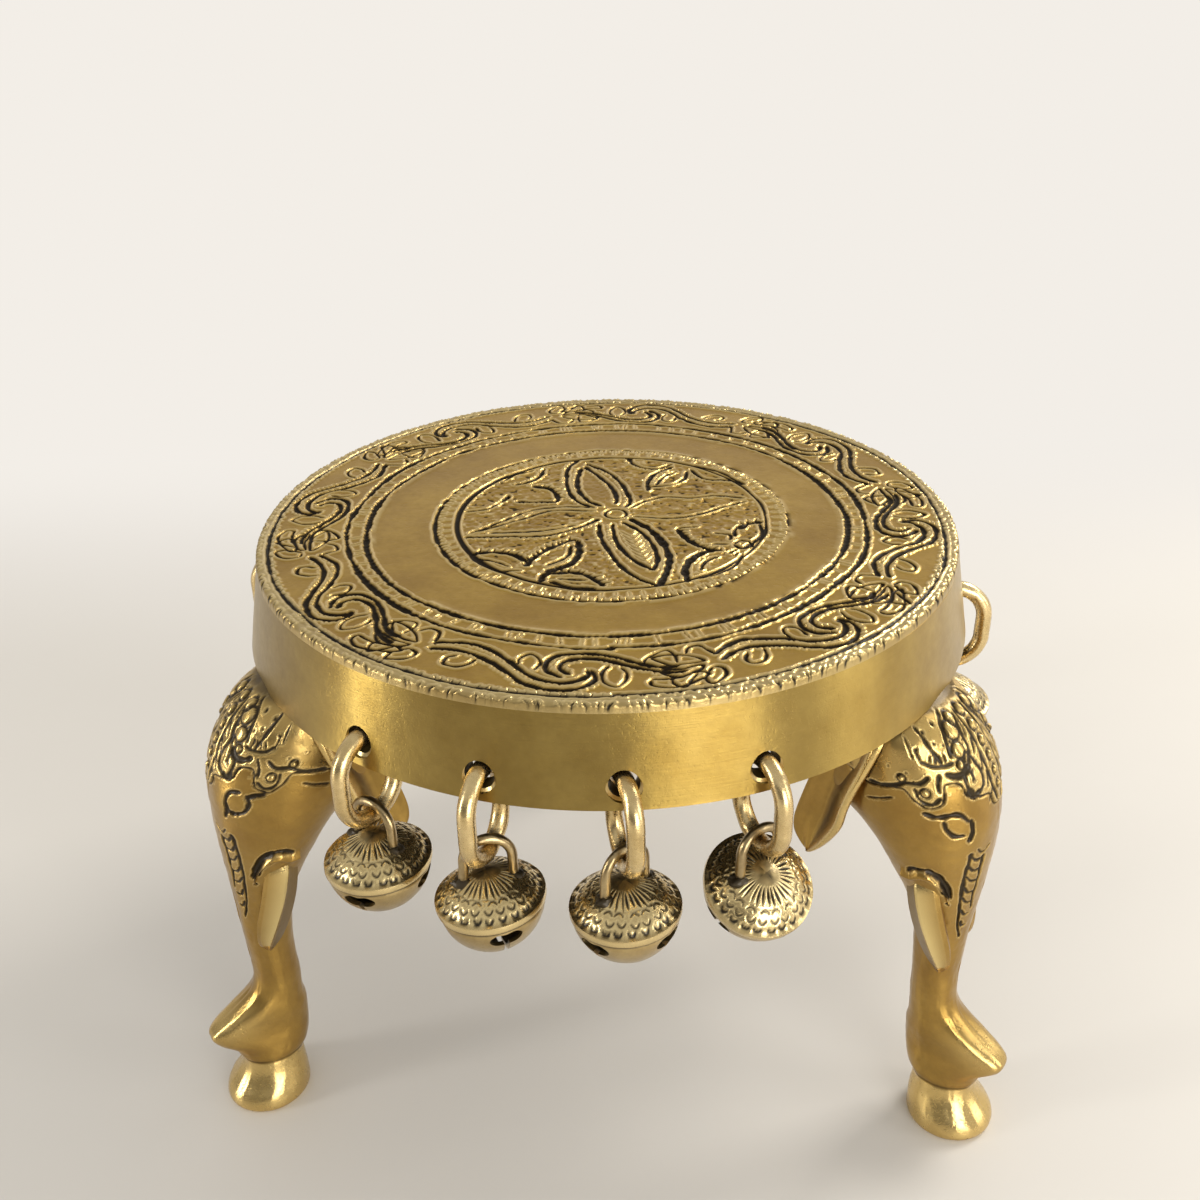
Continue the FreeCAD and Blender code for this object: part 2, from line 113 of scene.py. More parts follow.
def shell(grid, poles=None):
    # One closed surface: columns close on themselves, and rows do too, or end in a pole at each end.
    rows, columns = grid.shape[:2]
    points = grid.reshape(-1, 3)
    index = np.arange(rows * columns).reshape(rows, columns)
    beside = np.roll(index, -1, axis=1)
    triangles = np.zeros((0, 3), int)
    if poles is None:
        quads = np.stack([index, beside, np.roll(beside, -1, axis=0), np.roll(index, -1, axis=0)], -1)
    else:
        quads = np.stack([index[:-1], beside[:-1], beside[1:], index[1:]], -1)
        points = np.vstack([points, poles])
        first, last = join(beside[0], index[0], rows * columns), join(index[-1], beside[-1], rows * columns + 1)
        triangles = np.vstack([first, last])
    quads = quads.reshape(-1, 4)
    corners = np.vstack([quads[:, :3], quads[:, [0, 2, 3]], triangles])
    a, b, c = (points[corners[:, k]] for k in range(3))
    if np.einsum("ij,ij->", a, np.cross(b, c)) < 0:  # a volume below zero means that the faces point inwards
        quads, triangles = quads[:, ::-1], triangles[:, ::-1]
    return points, quads, triangles


def addObject(name, data):
    item = bpy.data.objects.new(name, data)
    bpy.context.scene.collection.objects.link(item)
    return item


def dropObject(item):
    # Removes an object with its mesh.
    mesh = item.data
    bpy.data.objects.remove(item)
    bpy.data.meshes.remove(mesh)


def setLayer(mesh, name, values, domain="POINT"):
    # A number for each vertex or face, which the brass reads by its name.
    mesh.attributes.new(name, "FLOAT", domain).data.foreach_set("value", np.asarray(values, np.float32))


def readPlaces(items, key):
    # Places of a mesh's vertices or faces, in millimetres.
    places = np.empty(len(items) * 3, np.float32)
    items.foreach_get(key, places)
    return places.reshape(-1, 3) * 1000.0


def buildMesh(name, shells, layers=None, crease=38):
    # Puts closed surfaces into one mesh. A layer's values go to the vertices in order, and 0 to the rest.
    offset = np.cumsum([0] + [len(s[0]) for s in shells])
    points = np.vstack([s[0] for s in shells])
    quads, triangles = (np.vstack([s[k] + o for s, o in zip(shells, offset)]) for k in (1, 2))
    mesh = bpy.data.meshes.new(name)
    mesh.vertices.add(len(points))
    mesh.vertices.foreach_set("co", (points * 0.001).astype(np.float32).ravel())
    loops = np.concatenate([quads.ravel(), triangles.ravel()]).astype(np.int32)
    mesh.loops.add(len(loops))
    mesh.loops.foreach_set("vertex_index", loops)
    starts = np.concatenate([np.arange(len(quads)) * 4, len(quads) * 4 + np.arange(len(triangles)) * 3])
    mesh.polygons.add(len(starts))
    mesh.polygons.foreach_set("loop_start", starts.astype(np.int32))
    mesh.update(calc_edges=True)
    mesh.polygons.foreach_set("use_smooth", np.ones(len(starts), bool))
    for layer, values in (layers or {}).items():
        setLayer(mesh, layer, np.pad(np.ravel(values), (0, len(points) - np.size(values))))
    mesh.set_sharp_from_angle(angle=math.radians(crease))
    return addObject(name, mesh)


def dress(piece, material, body="root", replaced=()):
    # Finish and body of a piece, and the nodes that it stands for, which are hidden.
    piece.data.materials.clear()
    piece.data.materials.append(material)
    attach(piece, body)
    if replaced:
        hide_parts(*replaced)


# Engraving. A field is a net over two axes, and each of its cells holds how far inside the nearest cut it lies.
def makeField(first, last, cell, lines, margin):
    # Each line is (points, half widths, millimetres per unit of the first axis). A cell keeps the largest
    # half width less its distance from the line, and -9 away from all lines.
    first, cell = np.array(first, float), np.array(cell, float)
    wide, high = np.ceil((np.array(last) - first) / cell).astype(int) + 1
    points = np.vstack([line[0] for line in lines])
    half, scale = (np.concatenate([np.broadcast_to(line[k], len(line[0])) for line in lines]) for k in (1, 2))
    base = np.rint((points - first) / cell).astype(int)
    reach = half.max() + margin
    countU, countV = int(reach / (cell[0] * scale.min())) + 1, int(reach / cell[1]) + 1
    inside = np.full(wide * high, -9.0)
    for i in range(-countU, countU + 1):
        u = base[:, 0] + i
        gapU = (first[0] + u * cell[0] - points[:, 0]) * scale
        fits = np.flatnonzero((u >= 0) & (u < wide) & (np.abs(gapU) < half + margin))
        for j in range(-countV, countV + 1):
            v = base[fits, 1] + j
            near = half[fits] - np.hypot(gapU[fits], first[1] + v * cell[1] - points[fits, 1])
            keep = (v >= 0) & (v < high) & (near > -margin)
            np.maximum.at(inside, (u[fits] * high + v)[keep], near[keep])
    return {"first": first, "cell": cell, "inside": inside.reshape(wide, high)}


def readField(field, layer, u, v):
    # Reads a layer of a field between its cells.
    values = field[layer]
    x, y = (np.clip((at - first) / cell, 0, count - 1.001)
            for at, first, cell, count in zip((u, v), field["first"], field["cell"], values.shape))
    i, j = x.astype(int), y.astype(int)
    x, y = x - i, y - j
    return ((values[i, j] * (1 - x) + values[i + 1, j] * x) * (1 - y)
            + (values[i, j + 1] * (1 - x) + values[i + 1, j + 1] * x) * y)


def cutShape(inside, slope=0.9, deepest=0.6, burr=0.32, wide=0.34):
    # A V cut that levels out at its deepest, with a raised round edge; how dark and how bright it is. The dark is
    # patina in the cut; the bright edge is rubbed brass that also paints a highlight on the rib.
    depth = deepest * np.tanh(slope * np.clip(inside, 0, None) / deepest)
    edge = hill(np.clip(-inside, -0.4, 9), wide, wide)
    return burr * edge - depth, np.clip(inside / 0.2 - 0.1, 0, 1), edge


# Waves are (length, added to the seed): two for the line's wander, one for its width.
deckHand = {"waves": ((2.3, 0), (2.1, 50), (1.6, 9)), "even": 0.92, "blunt": 0.35, "taper": 1.2}
legHand = {"waves": ((2.0, 7), (2.2, 8), (1.5, 0)), "even": 0.95, "blunt": 0.4, "taper": 1.0}
cutStep = 0.12  # between the points of a cut


def chisel(points, width, seed, wander=0.1, hand=deckHand, closed=False):
    # A hand cut line: it wanders a little, its width varies and its ends are pointed.
    line = smoothLine(points, cutStep, closed)
    count = np.arange(len(line)) * cutStep
    sway = [wave(count, size, seed + more) for size, more in hand["waves"]]
    half = width / 2 * (hand["even"] + 0.25 * sway[2])
    if not closed:
        half = half * np.clip(hand["blunt"] + np.minimum(count, count[::-1]) / hand["taper"], 0, 1)
    return line + wander * join(*sway[:2]), half, 1.0


def ticks(line, side, length, pitch, width, seed):
    # Short cuts that stand on one side of a line, like the teeth of a leaf's edge.
    random = np.random.default_rng(seed)
    at = np.arange(4, len(line) - 4, pitch / cutStep)
    at = np.clip(at + random.uniform(-2, 2, len(at)), 1, len(line) - 2).astype(int)
    along = line[at + 1] - line[at - 1]
    along /= np.linalg.norm(along, axis=1)[:, None] + 1e-9
    out = side * join(along[:, 1], -along[:, 0]) + 0.5 * along
    reach = length * random.uniform(0.6, 1.2, len(at))
    t = np.linspace(0.1, 1, 7)
    dots = line[at][:, None] + out[:, None] * (reach[:, None] * t)[..., None]
    half = width / 2 * np.broadcast_to(1.1 - 0.7 * t, (len(at), 7))
    return dots.reshape(-1, 2), half.ravel(), 1.0


def fromPolar(pairs):
    # (degrees from the front towards +X, radius) to (x, y)
    turn = np.radians(pairs[:, 0])
    return join(pairs[:, 1] * np.sin(turn), -pairs[:, 1] * np.cos(turn))


# Ornament of the deck. A vine's shape is (degrees from its flower, radius), a medallion's is (x, y).
vine = {
    "flowers": (-77.5, -34.0, 15.5, 58.5, 101.5, 146.0, 190.0, 236.0), "pitch": 49.0,
    "stems": (
        ((2, 73.5), (6, 71), (9, 70.2), (13, 71.5), (17, 74.5), (21, 79), (24, 80.5), (27, 80.5), (29, 79), (30, 77),
         (29.7, 75.5)),
        ((2.5, 76), (7, 73.8), (10, 73.8), (14, 75.5), (18, 79), (21, 82), (24.5, 83.5), (28, 83.3), (30, 81.5),
         (31, 79), (30.3, 75.5)),
        ((26, 79), (23.2, 76), (22.8, 73), (24.5, 70), (28, 68.9), (32, 69.3), (36, 71.5), (39, 74), (42, 75.5),
         (44.5, 75.4)),
        ((27, 77.5), (25.2, 75), (25.5, 72.5), (28, 70.8), (31, 70.8), (35, 73), (39, 76), (43, 78), (45, 78)),
    ),
    "leaves": (
        ((11.5, 75.5), (10.8, 78), (9, 80), (7, 79.5), (6.8, 77.5), (8, 75.5)),
        ((18.5, 75), (18.2, 72.5), (19.5, 70.4), (21, 71.2), (21.8, 73.5), (21.4, 76.5)),
        ((33, 73.8), (32, 77), (32.6, 80.6), (34, 82), (35.4, 80), (35.7, 76), (35, 74.4)),
        ((39.6, 75.3), (39, 72.5), (40.8, 70), (43.6, 69), (44.4, 71.5), (44.2, 74.5)),
        ((42.6, 79), (42.3, 81.8), (43.6, 84), (45, 81.6), (46.4, 79.2)),
        ((-9, 71.5), (-5, 71.2), (-1.5, 73.5), (-0.5, 75.2), (-2, 75.4), (-6, 75), (-8.5, 72.3), (-9, 71.5)),
        ((-8, 76.2), (-4, 77), (-1, 77), (-1.5, 78), (-3, 79), (-6, 79.6), (-8, 77.4), (-8, 76.2)),
        ((-9.8, 80.3), (-6, 80.4), (-2, 79), (-1, 79.6), (-4, 82.6), (-8, 83.7), (-9.9, 82), (-9.8, 80.3)),
        ((0, 78), (1.6, 78.6), (1.8, 81), (0.5, 83), (-1.5, 84), (-1.8, 82), (-1, 79.6), (0, 78)),
        ((-2.8, 71.3), (-1.5, 69), (0.5, 69), (1.5, 71), (2.2, 73.2)),
    ),
    "stemWidth": 1.65, "leafWidth": 1.05,
}
medallion = {
    "middle": (1.3, 0.0),
    "bold": (
        ((-7.5, 38.5), (-9.5, 35), (-10.5, 25), (-10, 18), (-7, 10), (-3, 6)),
        ((-5, 36), (0, 31), (4, 23), (6, 15), (6.5, 9), (5, 6)),
        ((-6.5, 33), (-7.5, 25), (-7, 17), (-4, 10), (-1, 7)), ((-5.5, 34), (-1, 26), (2, 18), (3, 12), (2.5, 8)),
        ((-2, -4), (-1.5, -12), (1, -22), (4, -30), (8, -35.5), (11.5, -38.5)),
        ((1.5, -4), (2, -12), (4, -20), (7, -26), (11, -30.5)),
        ((4, -3), (9, -10), (11.5, -18), (12, -26), (11, -30)),
        ((-36, -10), (-25, -10.2), (-15, -10), (-8, -6.5), (-2, -1)), ((-14, -35), (-9, -38), (-3, -39)),
        ((-17, 33), (-18, 28), (-21, 24), (-25, 22)), ((-24, 11), (-18, 10.6), (-13, 11), (-12.5, 13)),
        ((-28, 11), (-26.4, 14), (-26, 15.5)), ((11.5, 16), (12, 23), (15, 29), (19, 32)),
        ((24, 30), (28, 23), (34, 22), (38, 19)), ((7, 40), (9, 34), (14, 31), (19, 34)),
        ((18, -8), (20, -14), (24, -19), (28, -21)),
    ),
    "heavy": (
        ((6, -1), (11, -8), (14, -16), (15, -24), (13.5, -33), (12, -38)),
        ((-7.5, -13), (-7, -20), (-9, -26), (-15, -30)), ((-16, -35), (-15.5, -32), (-14, -30.5)),
        ((18.5, -37), (18.5, -30), (21, -24), (26, -20)),
    ),
    "fine": (
        ((-35, -8), (-27, -1), (-20, 5), (-12, 7), (-4, 6.5)), ((-30, -8), (-15, -7), (-8, -4.5)),
        ((-33, -7), (-22, 0), (-15, 4.5), (-3, 4)), ((6, 5), (10, 9), (16, 12), (22, 11), (30, 12), (37, 10)),
        ((7, 0), (15, -1.5), (22, -0.5), (28, 3), (33, 6), (37, 8)), ((-15, -27), (-10, -22), (-9, -16)),
        ((-12, -34), (-5, -35)), ((-34, -20), (-31, -25), (-26, -29), (-21, -29)),
        ((-32, -22), (-27, -24.5), (-24, -27)), ((-20, 32), (-25, 29), (-28, 25)), ((-37, 5), (-31, 7), (-28, 11)),
        ((12, 19), (18, 20), (22, 24), (23, 29)), ((14, 20), (16, 25), (20, 29)),
        ((25, 33), (32, 28), (36, 22), (38, 19)), ((39, -6), (39, -12), (36, -17), (33, -20)), ((18, -7.5), (23, -7)),
        ((19, -36), (26, -33), (31, -28), (33, -23)), ((22, -31), (24, -26), (27, -24)),
        ((32, -13), (33, -8), (38, -5)),
        ((31.3, -17.5), (33, -15.6), (35.6, -16.6), (35.4, -19), (33, -19.7), (31.3, -17.8)),
        ((26, -17), (30, -17.4)), ((36, -16), (39, -13)), ((29.5, -22.5), (32, -20)),
        ((27, -11), (31, -12.5), (30.5, -15)),
    ),
    "toothed": (
        ((-20, -27), (-18, -22), (-14, -17), (-8, -12.5)), ((-34, -20), (-30, -19), (-24, -20), (-20, -24)),
        ((-14, -31), (-8, -31), (-3, -35), (-1, -38)), ((-20, 21), (-15, 19), (-13, 15), (-12.5, 12.5)),
        ((18, -8), (20, -14), (24, -19), (28, -21)), ((34, -9), (36, -6), (40, -5)),
    ),
    "solidRing": 40.0, "notchedRing": 45.3, "teeth": 158, "tickRing": 41.9, "boss": (2.5, 2.0), "ground": 38.6,
    "rib": ((3.4, -8.6), (6.1, -11.6), (8.4, -8.9)),
    "petalLeft": (
        (-38, -30, -22, -12, -4, 6, 10, 18, 25, 35, 38), (11, 4, 1, -1.5, -2, -3, -7, -10, -10.5, -9.5, -7.5),
    ),
    "petalRight": (
        (-38, -33, -24, -16, -8, -1, 9, 15, 23, 31, 36), (12, 13.5, 15, 14, 11, 6, 6.5, 6, 4, 0, -5),
    ),
    "cuts": {  # width, wander, and the teeth along it: side, length, pitch, width
        "bold": (1.55, 0.12, (1, 1.1, 1.5, 0.55)), "heavy": (2.3, 0.12, None), "fine": (1.25, 0.1, None),
        "toothed": (1.9, 0.2, (-1, 1.9, 1.7, 1.1)),
    },
}
# Turned rings are (radius, width, seed), and rows of ticks (inside, outside, pitch, width, lean).
turnedRings = {
    "cuts": ((61.6, 1.75, 1), (66.6, 1.7, 2), (85.6, 1.15, 3)),
    "ticks": ((62.3, 66.0, 3.6, 0.36, 1.0), (88.1, 89.3, 1.55, 0.62, 1.4), (84.9, 86.2, 1.2, 0.6, 0.7)),
}


def inMedallion(reach, turn):
    # Points at distances and angles from the medallion's middle.
    return medallion["middle"] + join(reach * np.cos(turn), reach * np.sin(turn)).reshape(-1, 2)


def medallionRings(random):
    # A solid circle, a broken circle with a row of teeth, and fine ticks between the two.
    angle = np.linspace(0, 2 * math.pi, 2500)
    uneven = wave(angle * 20, 3.0, 8)
    solid = inMedallion(medallion["solidRing"] + 0.25 * uneven, angle)
    count = medallion["teeth"]
    turn = (np.arange(count) + random.uniform(-0.2, 0.2, count)) * 2 * math.pi / count
    reach = medallion["notchedRing"] + np.linspace(-1.5, 0.3, 12) * random.uniform(0.6, 1.2, (count, 1))
    heavy = (0.29 - 0.13 * np.cos(turn - 0.6)) * random.uniform(0.7, 1.25, count)
    broken = 0.34 - 0.22 * np.cos(angle - 0.6) + 0.42 * wave(angle * 22, 1.0, 18)
    short = medallion["tickRing"] + np.linspace(0, 2.0, 12) * random.uniform(0.4, 1, (count // 2, 1))
    return [
        (solid, 0.68 + 0.16 * uneven - 0.18 * np.cos(angle), 1.0),
        (inMedallion(reach, turn[:, None]), (heavy[:, None] * np.linspace(0.35, 1.15, 12)).ravel(), 1.0),
        (inMedallion(medallion["notchedRing"] + 0.35 + 0.25 * uneven, angle), np.clip(broken, 0.05, 0.75), 1.0),
        (inMedallion(short, (turn[::2] + 0.02)[:, None]), 0.08, 1.0),
        (medallion["boss"] + 2.8 * join(np.cos(angle), np.sin(angle))[::8], 0.5, 1.0),
    ]


def deckLines():
    # Every cut in the top: the vine from flower to flower, the turned rings, their ticks and the medallion.
    lines, seed = [], 10
    spans = np.diff(np.append(vine["flowers"], vine["flowers"][0] + 360))
    for start, span in zip(vine["flowers"], spans):
        for group, width in (("stems", vine["stemWidth"]), ("leaves", vine["leafWidth"])):
            for shape in vine[group]:
                seed += 1
                pairs = np.array(shape, float)
                pairs[:, 0] = start + np.where(pairs[:, 0] > 0, pairs[:, 0] * span / vine["pitch"], pairs[:, 0])
                pairs[:, 1] += 0.3 * softNoise(pairs[:, 0], pairs[:, 1], 7.0, seed)
                lines.append(chisel(fromPolar(pairs), width, seed, 0.14))
                if group == "stems":
                    lines.append(ticks(lines[-1][0], 1, 1.15, 1.3, 0.62, seed))
    degrees = np.arange(0, 360, 0.1)
    for radius, width, seed in turnedRings["cuts"]:
        out = radius + 0.5 * wave(degrees, 17, seed) + 0.12 * wave(degrees, 2.1, seed)
        chatter = 0.3 * wave(degrees, 5.0, seed + 4) + 0.3 * wave(degrees, 0.7, seed + 5)
        lines.append((fromPolar(join(degrees, out)), width / 2 * (0.85 + chatter), 1.0))
    random = np.random.default_rng(4)
    for low, high, pitch, width, lean in turnedRings["ticks"]:
        start = np.arange(0, 360, pitch) + random.uniform(-0.5, 0.5, int(np.ceil(360 / pitch))) * pitch
        shift = random.uniform(-lean, lean, len(start))
        t = np.linspace(0, 1, 14)
        pairs = join(start[:, None] + shift[:, None] * t, low + (high - low) * t)
        half = width / 2 * random.uniform(0.45, 1.2, len(start))[:, None] * (0.5 + np.sin(math.pi * t) * 0.6)
        lines.append((fromPolar(pairs.reshape(-1, 2)), half.ravel(), 1.0))
    lines += medallionRings(random)
    for group, (width, wander, teeth) in medallion["cuts"].items():
        for shape in medallion[group]:
            seed += 1
            lines.append(chisel(shape, width, seed, wander))
            if teeth:
                lines.append(ticks(lines[-1][0], *teeth, seed))
    for step in range(7):
        rib = np.array(medallion["rib"]) + (0.5 * step, -2.35 * step)
        lines.append(chisel(rib, 0.34, seed + step))
    return lines


deckField = makeField((-90, -90), (90, 90), (0.1, 0.1), deckLines(), 0.95)
print("deck ornament cut")

# The ground's waves are (height, size, seed). The bead runs along the top's edge and turns over a round.
deckGround = {"waves": ((0.05, 9.0, 3), (0.02, 2.2, 4)), "hammer": 0.2, "petal": 0.45, "wearAndHighlight": 0.85}
bead = {"from": 84.7, "to": 88.2, "round": 0.8, "crest": 87.7, "width": 0.9, "lift": 0.12, "wearAndHighlight": 0.3}


def deckTop(x, y):
    # How far the top stands above its level, how dark it is and how bright: the cuts, a slow waviness,
    # the hammered ground of the medallion, and a bead along the edge.
    lift, patinaAndShade, polishAndHighlight = cutShape(readField(deckField, "inside", x, y))
    for height, size, seed in deckGround["waves"]:
        lift = lift + height * softNoise(x, y, size, seed)
    left, right = (np.interp(y, *medallion[side]) for side in ("petalLeft", "petalRight"))
    smoother = np.where((x > left) & (x < right), deckGround["petal"], 1.0)
    ground = (np.hypot(x - medallion["middle"][0], y) < medallion["ground"]) * smoother * (polishAndHighlight < 0.3)
    hammered = (softNoise(x, y, 1.05, 5) + 0.6 * softNoise(x + y, x - y, 1.6, 6)) * ground
    lift = lift + deckGround["hammer"] * hammered
    patinaAndShade = np.maximum(patinaAndShade, 0.9 * np.clip((-hammered - 0.6) * 3.2, 0, 1))
    polishAndHighlight = np.maximum(polishAndHighlight, 0.8 * np.clip((hammered - 0.5) * 2.5, 0, 1))
    radius = np.hypot(x, y)
    crest = hill(radius, bead["crest"], bead["width"])
    polishAndHighlight = deckGround["wearAndHighlight"] * polishAndHighlight * np.clip(4.3 - (radius - bead["from"]), 0, 1)
    return lift + bead["lift"] * crest, patinaAndShade, np.clip(polishAndHighlight + bead["wearAndHighlight"] * crest * (1 - patinaAndShade), 0, 1)


# Deck plates: inner and outer radius, rows and columns of each engraved ring, over a flat underside.
deckPlates = {
    "deckCentre": (0.0, 24.0, 92, 620), "deckFlower": (24.0, 46.8, 96, 880), "deckBand": (46.8, 60.2, 12, 300),
    "deckRings": (60.2, 68.2, 34, 1150), "deckVineInner": (68.2, 76.4, 37, 1840),
    "deckVineOuter": (76.4, bead["from"], 37, 1840),
}
plateUnder = sizes["topLevel"] - 2.0


def platePoints(radii, turn, edge=0.0):
    # The top over circles of these radii; edge lowers each circle.
    x, y = radii[:, None] * np.cos(turn), radii[:, None] * np.sin(turn)
    lift, patinaAndShade, polishAndHighlight = deckTop(x, y)
    return join(x, y, sizes["topLevel"] + lift + edge), patinaAndShade, polishAndHighlight


def makePlate(name, inner, outer, rows, columns):
    # Grid of radius by angle; the underside repeats the two edge circles, or only the outer one and poles.
    top, patinaAndShade, polishAndHighlight = platePoints(np.linspace(max(inner, 0.3), outer, rows), fullTurn(columns))
    low = top[[-1, 0]].copy()
    low[..., 2] = plateUnder
    if inner:
        body = shell(np.concatenate([top, low]))
    else:
        body = shell(np.concatenate([top, low[:1]]), [[0, 0, top[0, :, 2].mean()], [0, 0, plateUnder]])
    return buildMesh(name, [body], {"patinaAndShade": patinaAndShade, "polishAndHighlight": polishAndHighlight})


def makeBead():
    # The milled edge: the top's outer strip turns over a small round onto the skirt.
    turn, over = fullTurn(1840), np.radians((22, 45, 68, 90))
    radii = np.append(np.linspace(bead["from"], bead["to"], 17), bead["to"] + bead["round"] * np.sin(over))
    edge = np.append(np.zeros(17), -bead["round"] * (1 - np.cos(over)))
    top, patinaAndShade, polishAndHighlight = platePoints(radii, turn, edge[:, None])
    top[-4:, :, 2] += 0.16 * wave(np.degrees(turn) * 1.5, 2.0, 21)
    ends = [onCircle(radius, turn, z) for radius, z in (skirt["seam"], (88.6, plateUnder), (bead["from"], plateUnder))]
    polishAndHighlight = np.vstack([polishAndHighlight, np.full((3, len(turn)), 0.2)])
    return buildMesh("deckBead", [shell(np.concatenate([top, ends]))], {"patinaAndShade": patinaAndShade, "polishAndHighlight": polishAndHighlight})


def turnedGrid(profile, columns, uneven=0.0, seed=1):
    # A profile of (radius, height) pairs carried round Z; uneven moves the radius a little.
    profile, turn = np.asarray(profile, float), fullTurn(columns)
    radius, height = profile[:, :1], profile[:, 1:]
    if uneven:
        radius = radius + uneven * softNoise(np.degrees(turn), height, 11.0, seed)
    return onCircle(radius, turn, height)


# Skirt. The lip's heights are above the rim, and the drill is (radius, distance from the deck's centre).
skirt = {
    "seam": (89.17, 149.6), "slopeFrom": 150.5,
    "lip": ((93.0, 0.2), (92.8, 0.03), (92.5, 0.0), (88.8, 0.0), (88.5, 0.15), (88.4, 0.5)),
    "roof": ((85, 147.8), (82, 148), (40, 148)), "uneven": 0.09,
    "holeLevel": 133.85, "drill": ((3.05, 84), (3.05, 89.6), (3.35, 90.4), (3.35, 91.55), (4.0, 92.05), (4.5, 96)),
    "bellPitch": 19.1, "rowShift": -3.9, "wallRadius": 90.479,
}


def bellAngle(k):
    # Four bells hang between each two legs.
    side, place = divmod(k, 4)
    return legAngles[0] - 60 + 120 * side + skirt["rowShift"] + skirt["bellPitch"] * (place - 1.5)


def applyCut(piece, cutter):
    # Takes the cutter's closed surfaces out of the piece, then drops the cutter.
    change = piece.modifiers.new("cut", "BOOLEAN")
    change.operation = "DIFFERENCE"
    change.solver = "EXACT"
    change.object = cutter
    graph = bpy.context.evaluated_depsgraph_get()
    mesh = bpy.data.meshes.new_from_object(piece.evaluated_get(graph))
    piece.modifiers.clear()
    old, piece.data = piece.data, mesh
    name = old.name
    bpy.data.meshes.remove(old)
    mesh.name = name
    dropObject(cutter)


def radialDrill(angle):
    # A turned cutter laid along the radius at one angle.
    out = np.array((math.cos(math.radians(angle)), math.sin(math.radians(angle)), 0))
    side, up = np.array((-out[1], out[0], 0)), np.array((0, 0, 1))
    grid = turnedGrid(skirt["drill"], 48)
    grid = grid[..., 2:] * out + grid[..., :1] * side + grid[..., 1:2] * up + up * skirt["holeLevel"]
    return shell(grid, [out * skirt["drill"][end][1] + up * skirt["holeLevel"] for end in (0, -1)])


def makeSkirt():
    # A profile turned about Z: a straight flare from the seam to a small lip, and back up inside to the roof. Twelve
    # drills are cut out of it. Faces near a hole's rim are bright, and those within the wall, in the bores and inside
    # the skirt, carry a painted shade.
    rim, (seamRadius, seamLevel) = sizes["rimLevel"], skirt["seam"]
    slope = (sizes["rimRadius"] - sizes["topRadius"]) / (skirt["slopeFrom"] - rim)
    profile = [(60, plateUnder), (86, plateUnder), (88.6, plateUnder)]
    profile += [(seamRadius + slope * (seamLevel - z), z) for z in np.linspace(seamLevel, rim + 0.5, 34)]
    profile += [(radius, rim + z) for radius, z in skirt["lip"]]
    profile += [(88.4 - 3 * (z - rim) / 22.0, z) for z in np.linspace(rim + 3, 146.5, 6)] + list(skirt["roof"])
    grid = turnedGrid(profile, 420, skirt["uneven"], 31)
    piece = buildMesh("deckSkirt", [shell(grid, [[0, 0, plateUnder], [0, 0, 148.0]])], crease=30)
    applyCut(piece, buildMesh("skirtDrills", [radialDrill(bellAngle(k)) for k in range(12)]))
    mesh = piece.data
    x, y, z = readPlaces(mesh.polygons, "center").T
    turns = np.radians([bellAngle(k) for k in range(12)])[:, None]
    beside = np.where(np.cos(turns) * x + np.sin(turns) * y > 0, -np.sin(turns) * x + np.cos(turns) * y, 999.0)
    gap = np.hypot(beside, z - skirt["holeLevel"]).min(axis=0)
    depth = seamRadius + slope * (seamLevel - z) - np.hypot(x, y)
    hole, holeRim = skirt["drill"][3][0], skirt["drill"][4][0]
    bright = (gap > hole + 0.04) & (gap < holeRim - 0.1) & (depth < 1.0) & (depth > 0.1)
    setLayer(mesh, "polishAndHighlight", 0.9 * bright, "FACE")
    # Painted shade: faces more than 0.3 inside the outer wall, in the bores and inside the skirt, are made dark.
    setLayer(mesh, "patinaAndShade", np.where(bright, 0, 0.92 * (depth > 0.3)), "FACE")
    mesh.set_sharp_from_angle(angle=math.radians(30))
    return piece


# Nodes of a material.
def setSockets(tree, node, values):
    # Links a node's sockets to outputs, or sets them to numbers or colours.
    for name, value in values.items():
        socket = node.inputs[name]
        if isinstance(value, bpy.types.NodeSocket):
            tree.links.new(value, socket)
        else:
            socket.default_value = (*value, 1) if socket.type == "RGBA" else value


def addNode(tree, kind, values=None, **settings):
    # A new node with its settings and its sockets' values.
    node = tree.nodes.new(kind)
    for name, value in settings.items():
        setattr(node, name, value)
    setSockets(tree, node, values or {})
    return node


def mixColor(tree, factor, first, second):
    # The first colour where the factor is 0, and the second where it is 1.
    return addNode(tree, "ShaderNodeMix", {0: factor, 6: first, 7: second}, data_type="RGBA").outputs[2]


def maths(tree, operation, *values):
    return addNode(tree, "ShaderNodeMath", dict(enumerate(values)), operation=operation).outputs[0]


def noise(tree, place, scale, detail, **more):
    return addNode(tree, "ShaderNodeTexNoise", {"Vector": place, "Scale": scale, "Detail": detail, **more}).outputs[0]


def clamp(tree, value):
    return addNode(tree, "ShaderNodeClamp", {"Value": value}).outputs[0]


def ramp(tree, value, limits):
    # 0 below the first limit and 1 above the second, with a smooth step between them.
    values = {"Value": value, "From Min": limits[0], "From Max": limits[1]}
    return addNode(tree, "ShaderNodeMapRange", values, interpolation_type="SMOOTHSTEP").outputs[0]


def bump(tree, strength, distance, height, **below):
    # A bumped normal, on top of another one that may be given as Normal.
    values = {"Strength": strength, "Distance": distance, "Height": height, **below}
    return addNode(tree, "ShaderNodeBump", values).outputs[0]


def split(tree, vector):
    return addNode(tree, "ShaderNodeSeparateXYZ", {"Vector": vector}).outputs


def newMaterial(name):
    # A material with its shader, and the places on the piece that its patterns read.
    material = bpy.data.materials.new(name)
    material.use_nodes = True
    tree = material.node_tree
    return material, tree, tree.nodes["Principled BSDF"], addNode(tree, "ShaderNodeTexCoord").outputs["Object"]


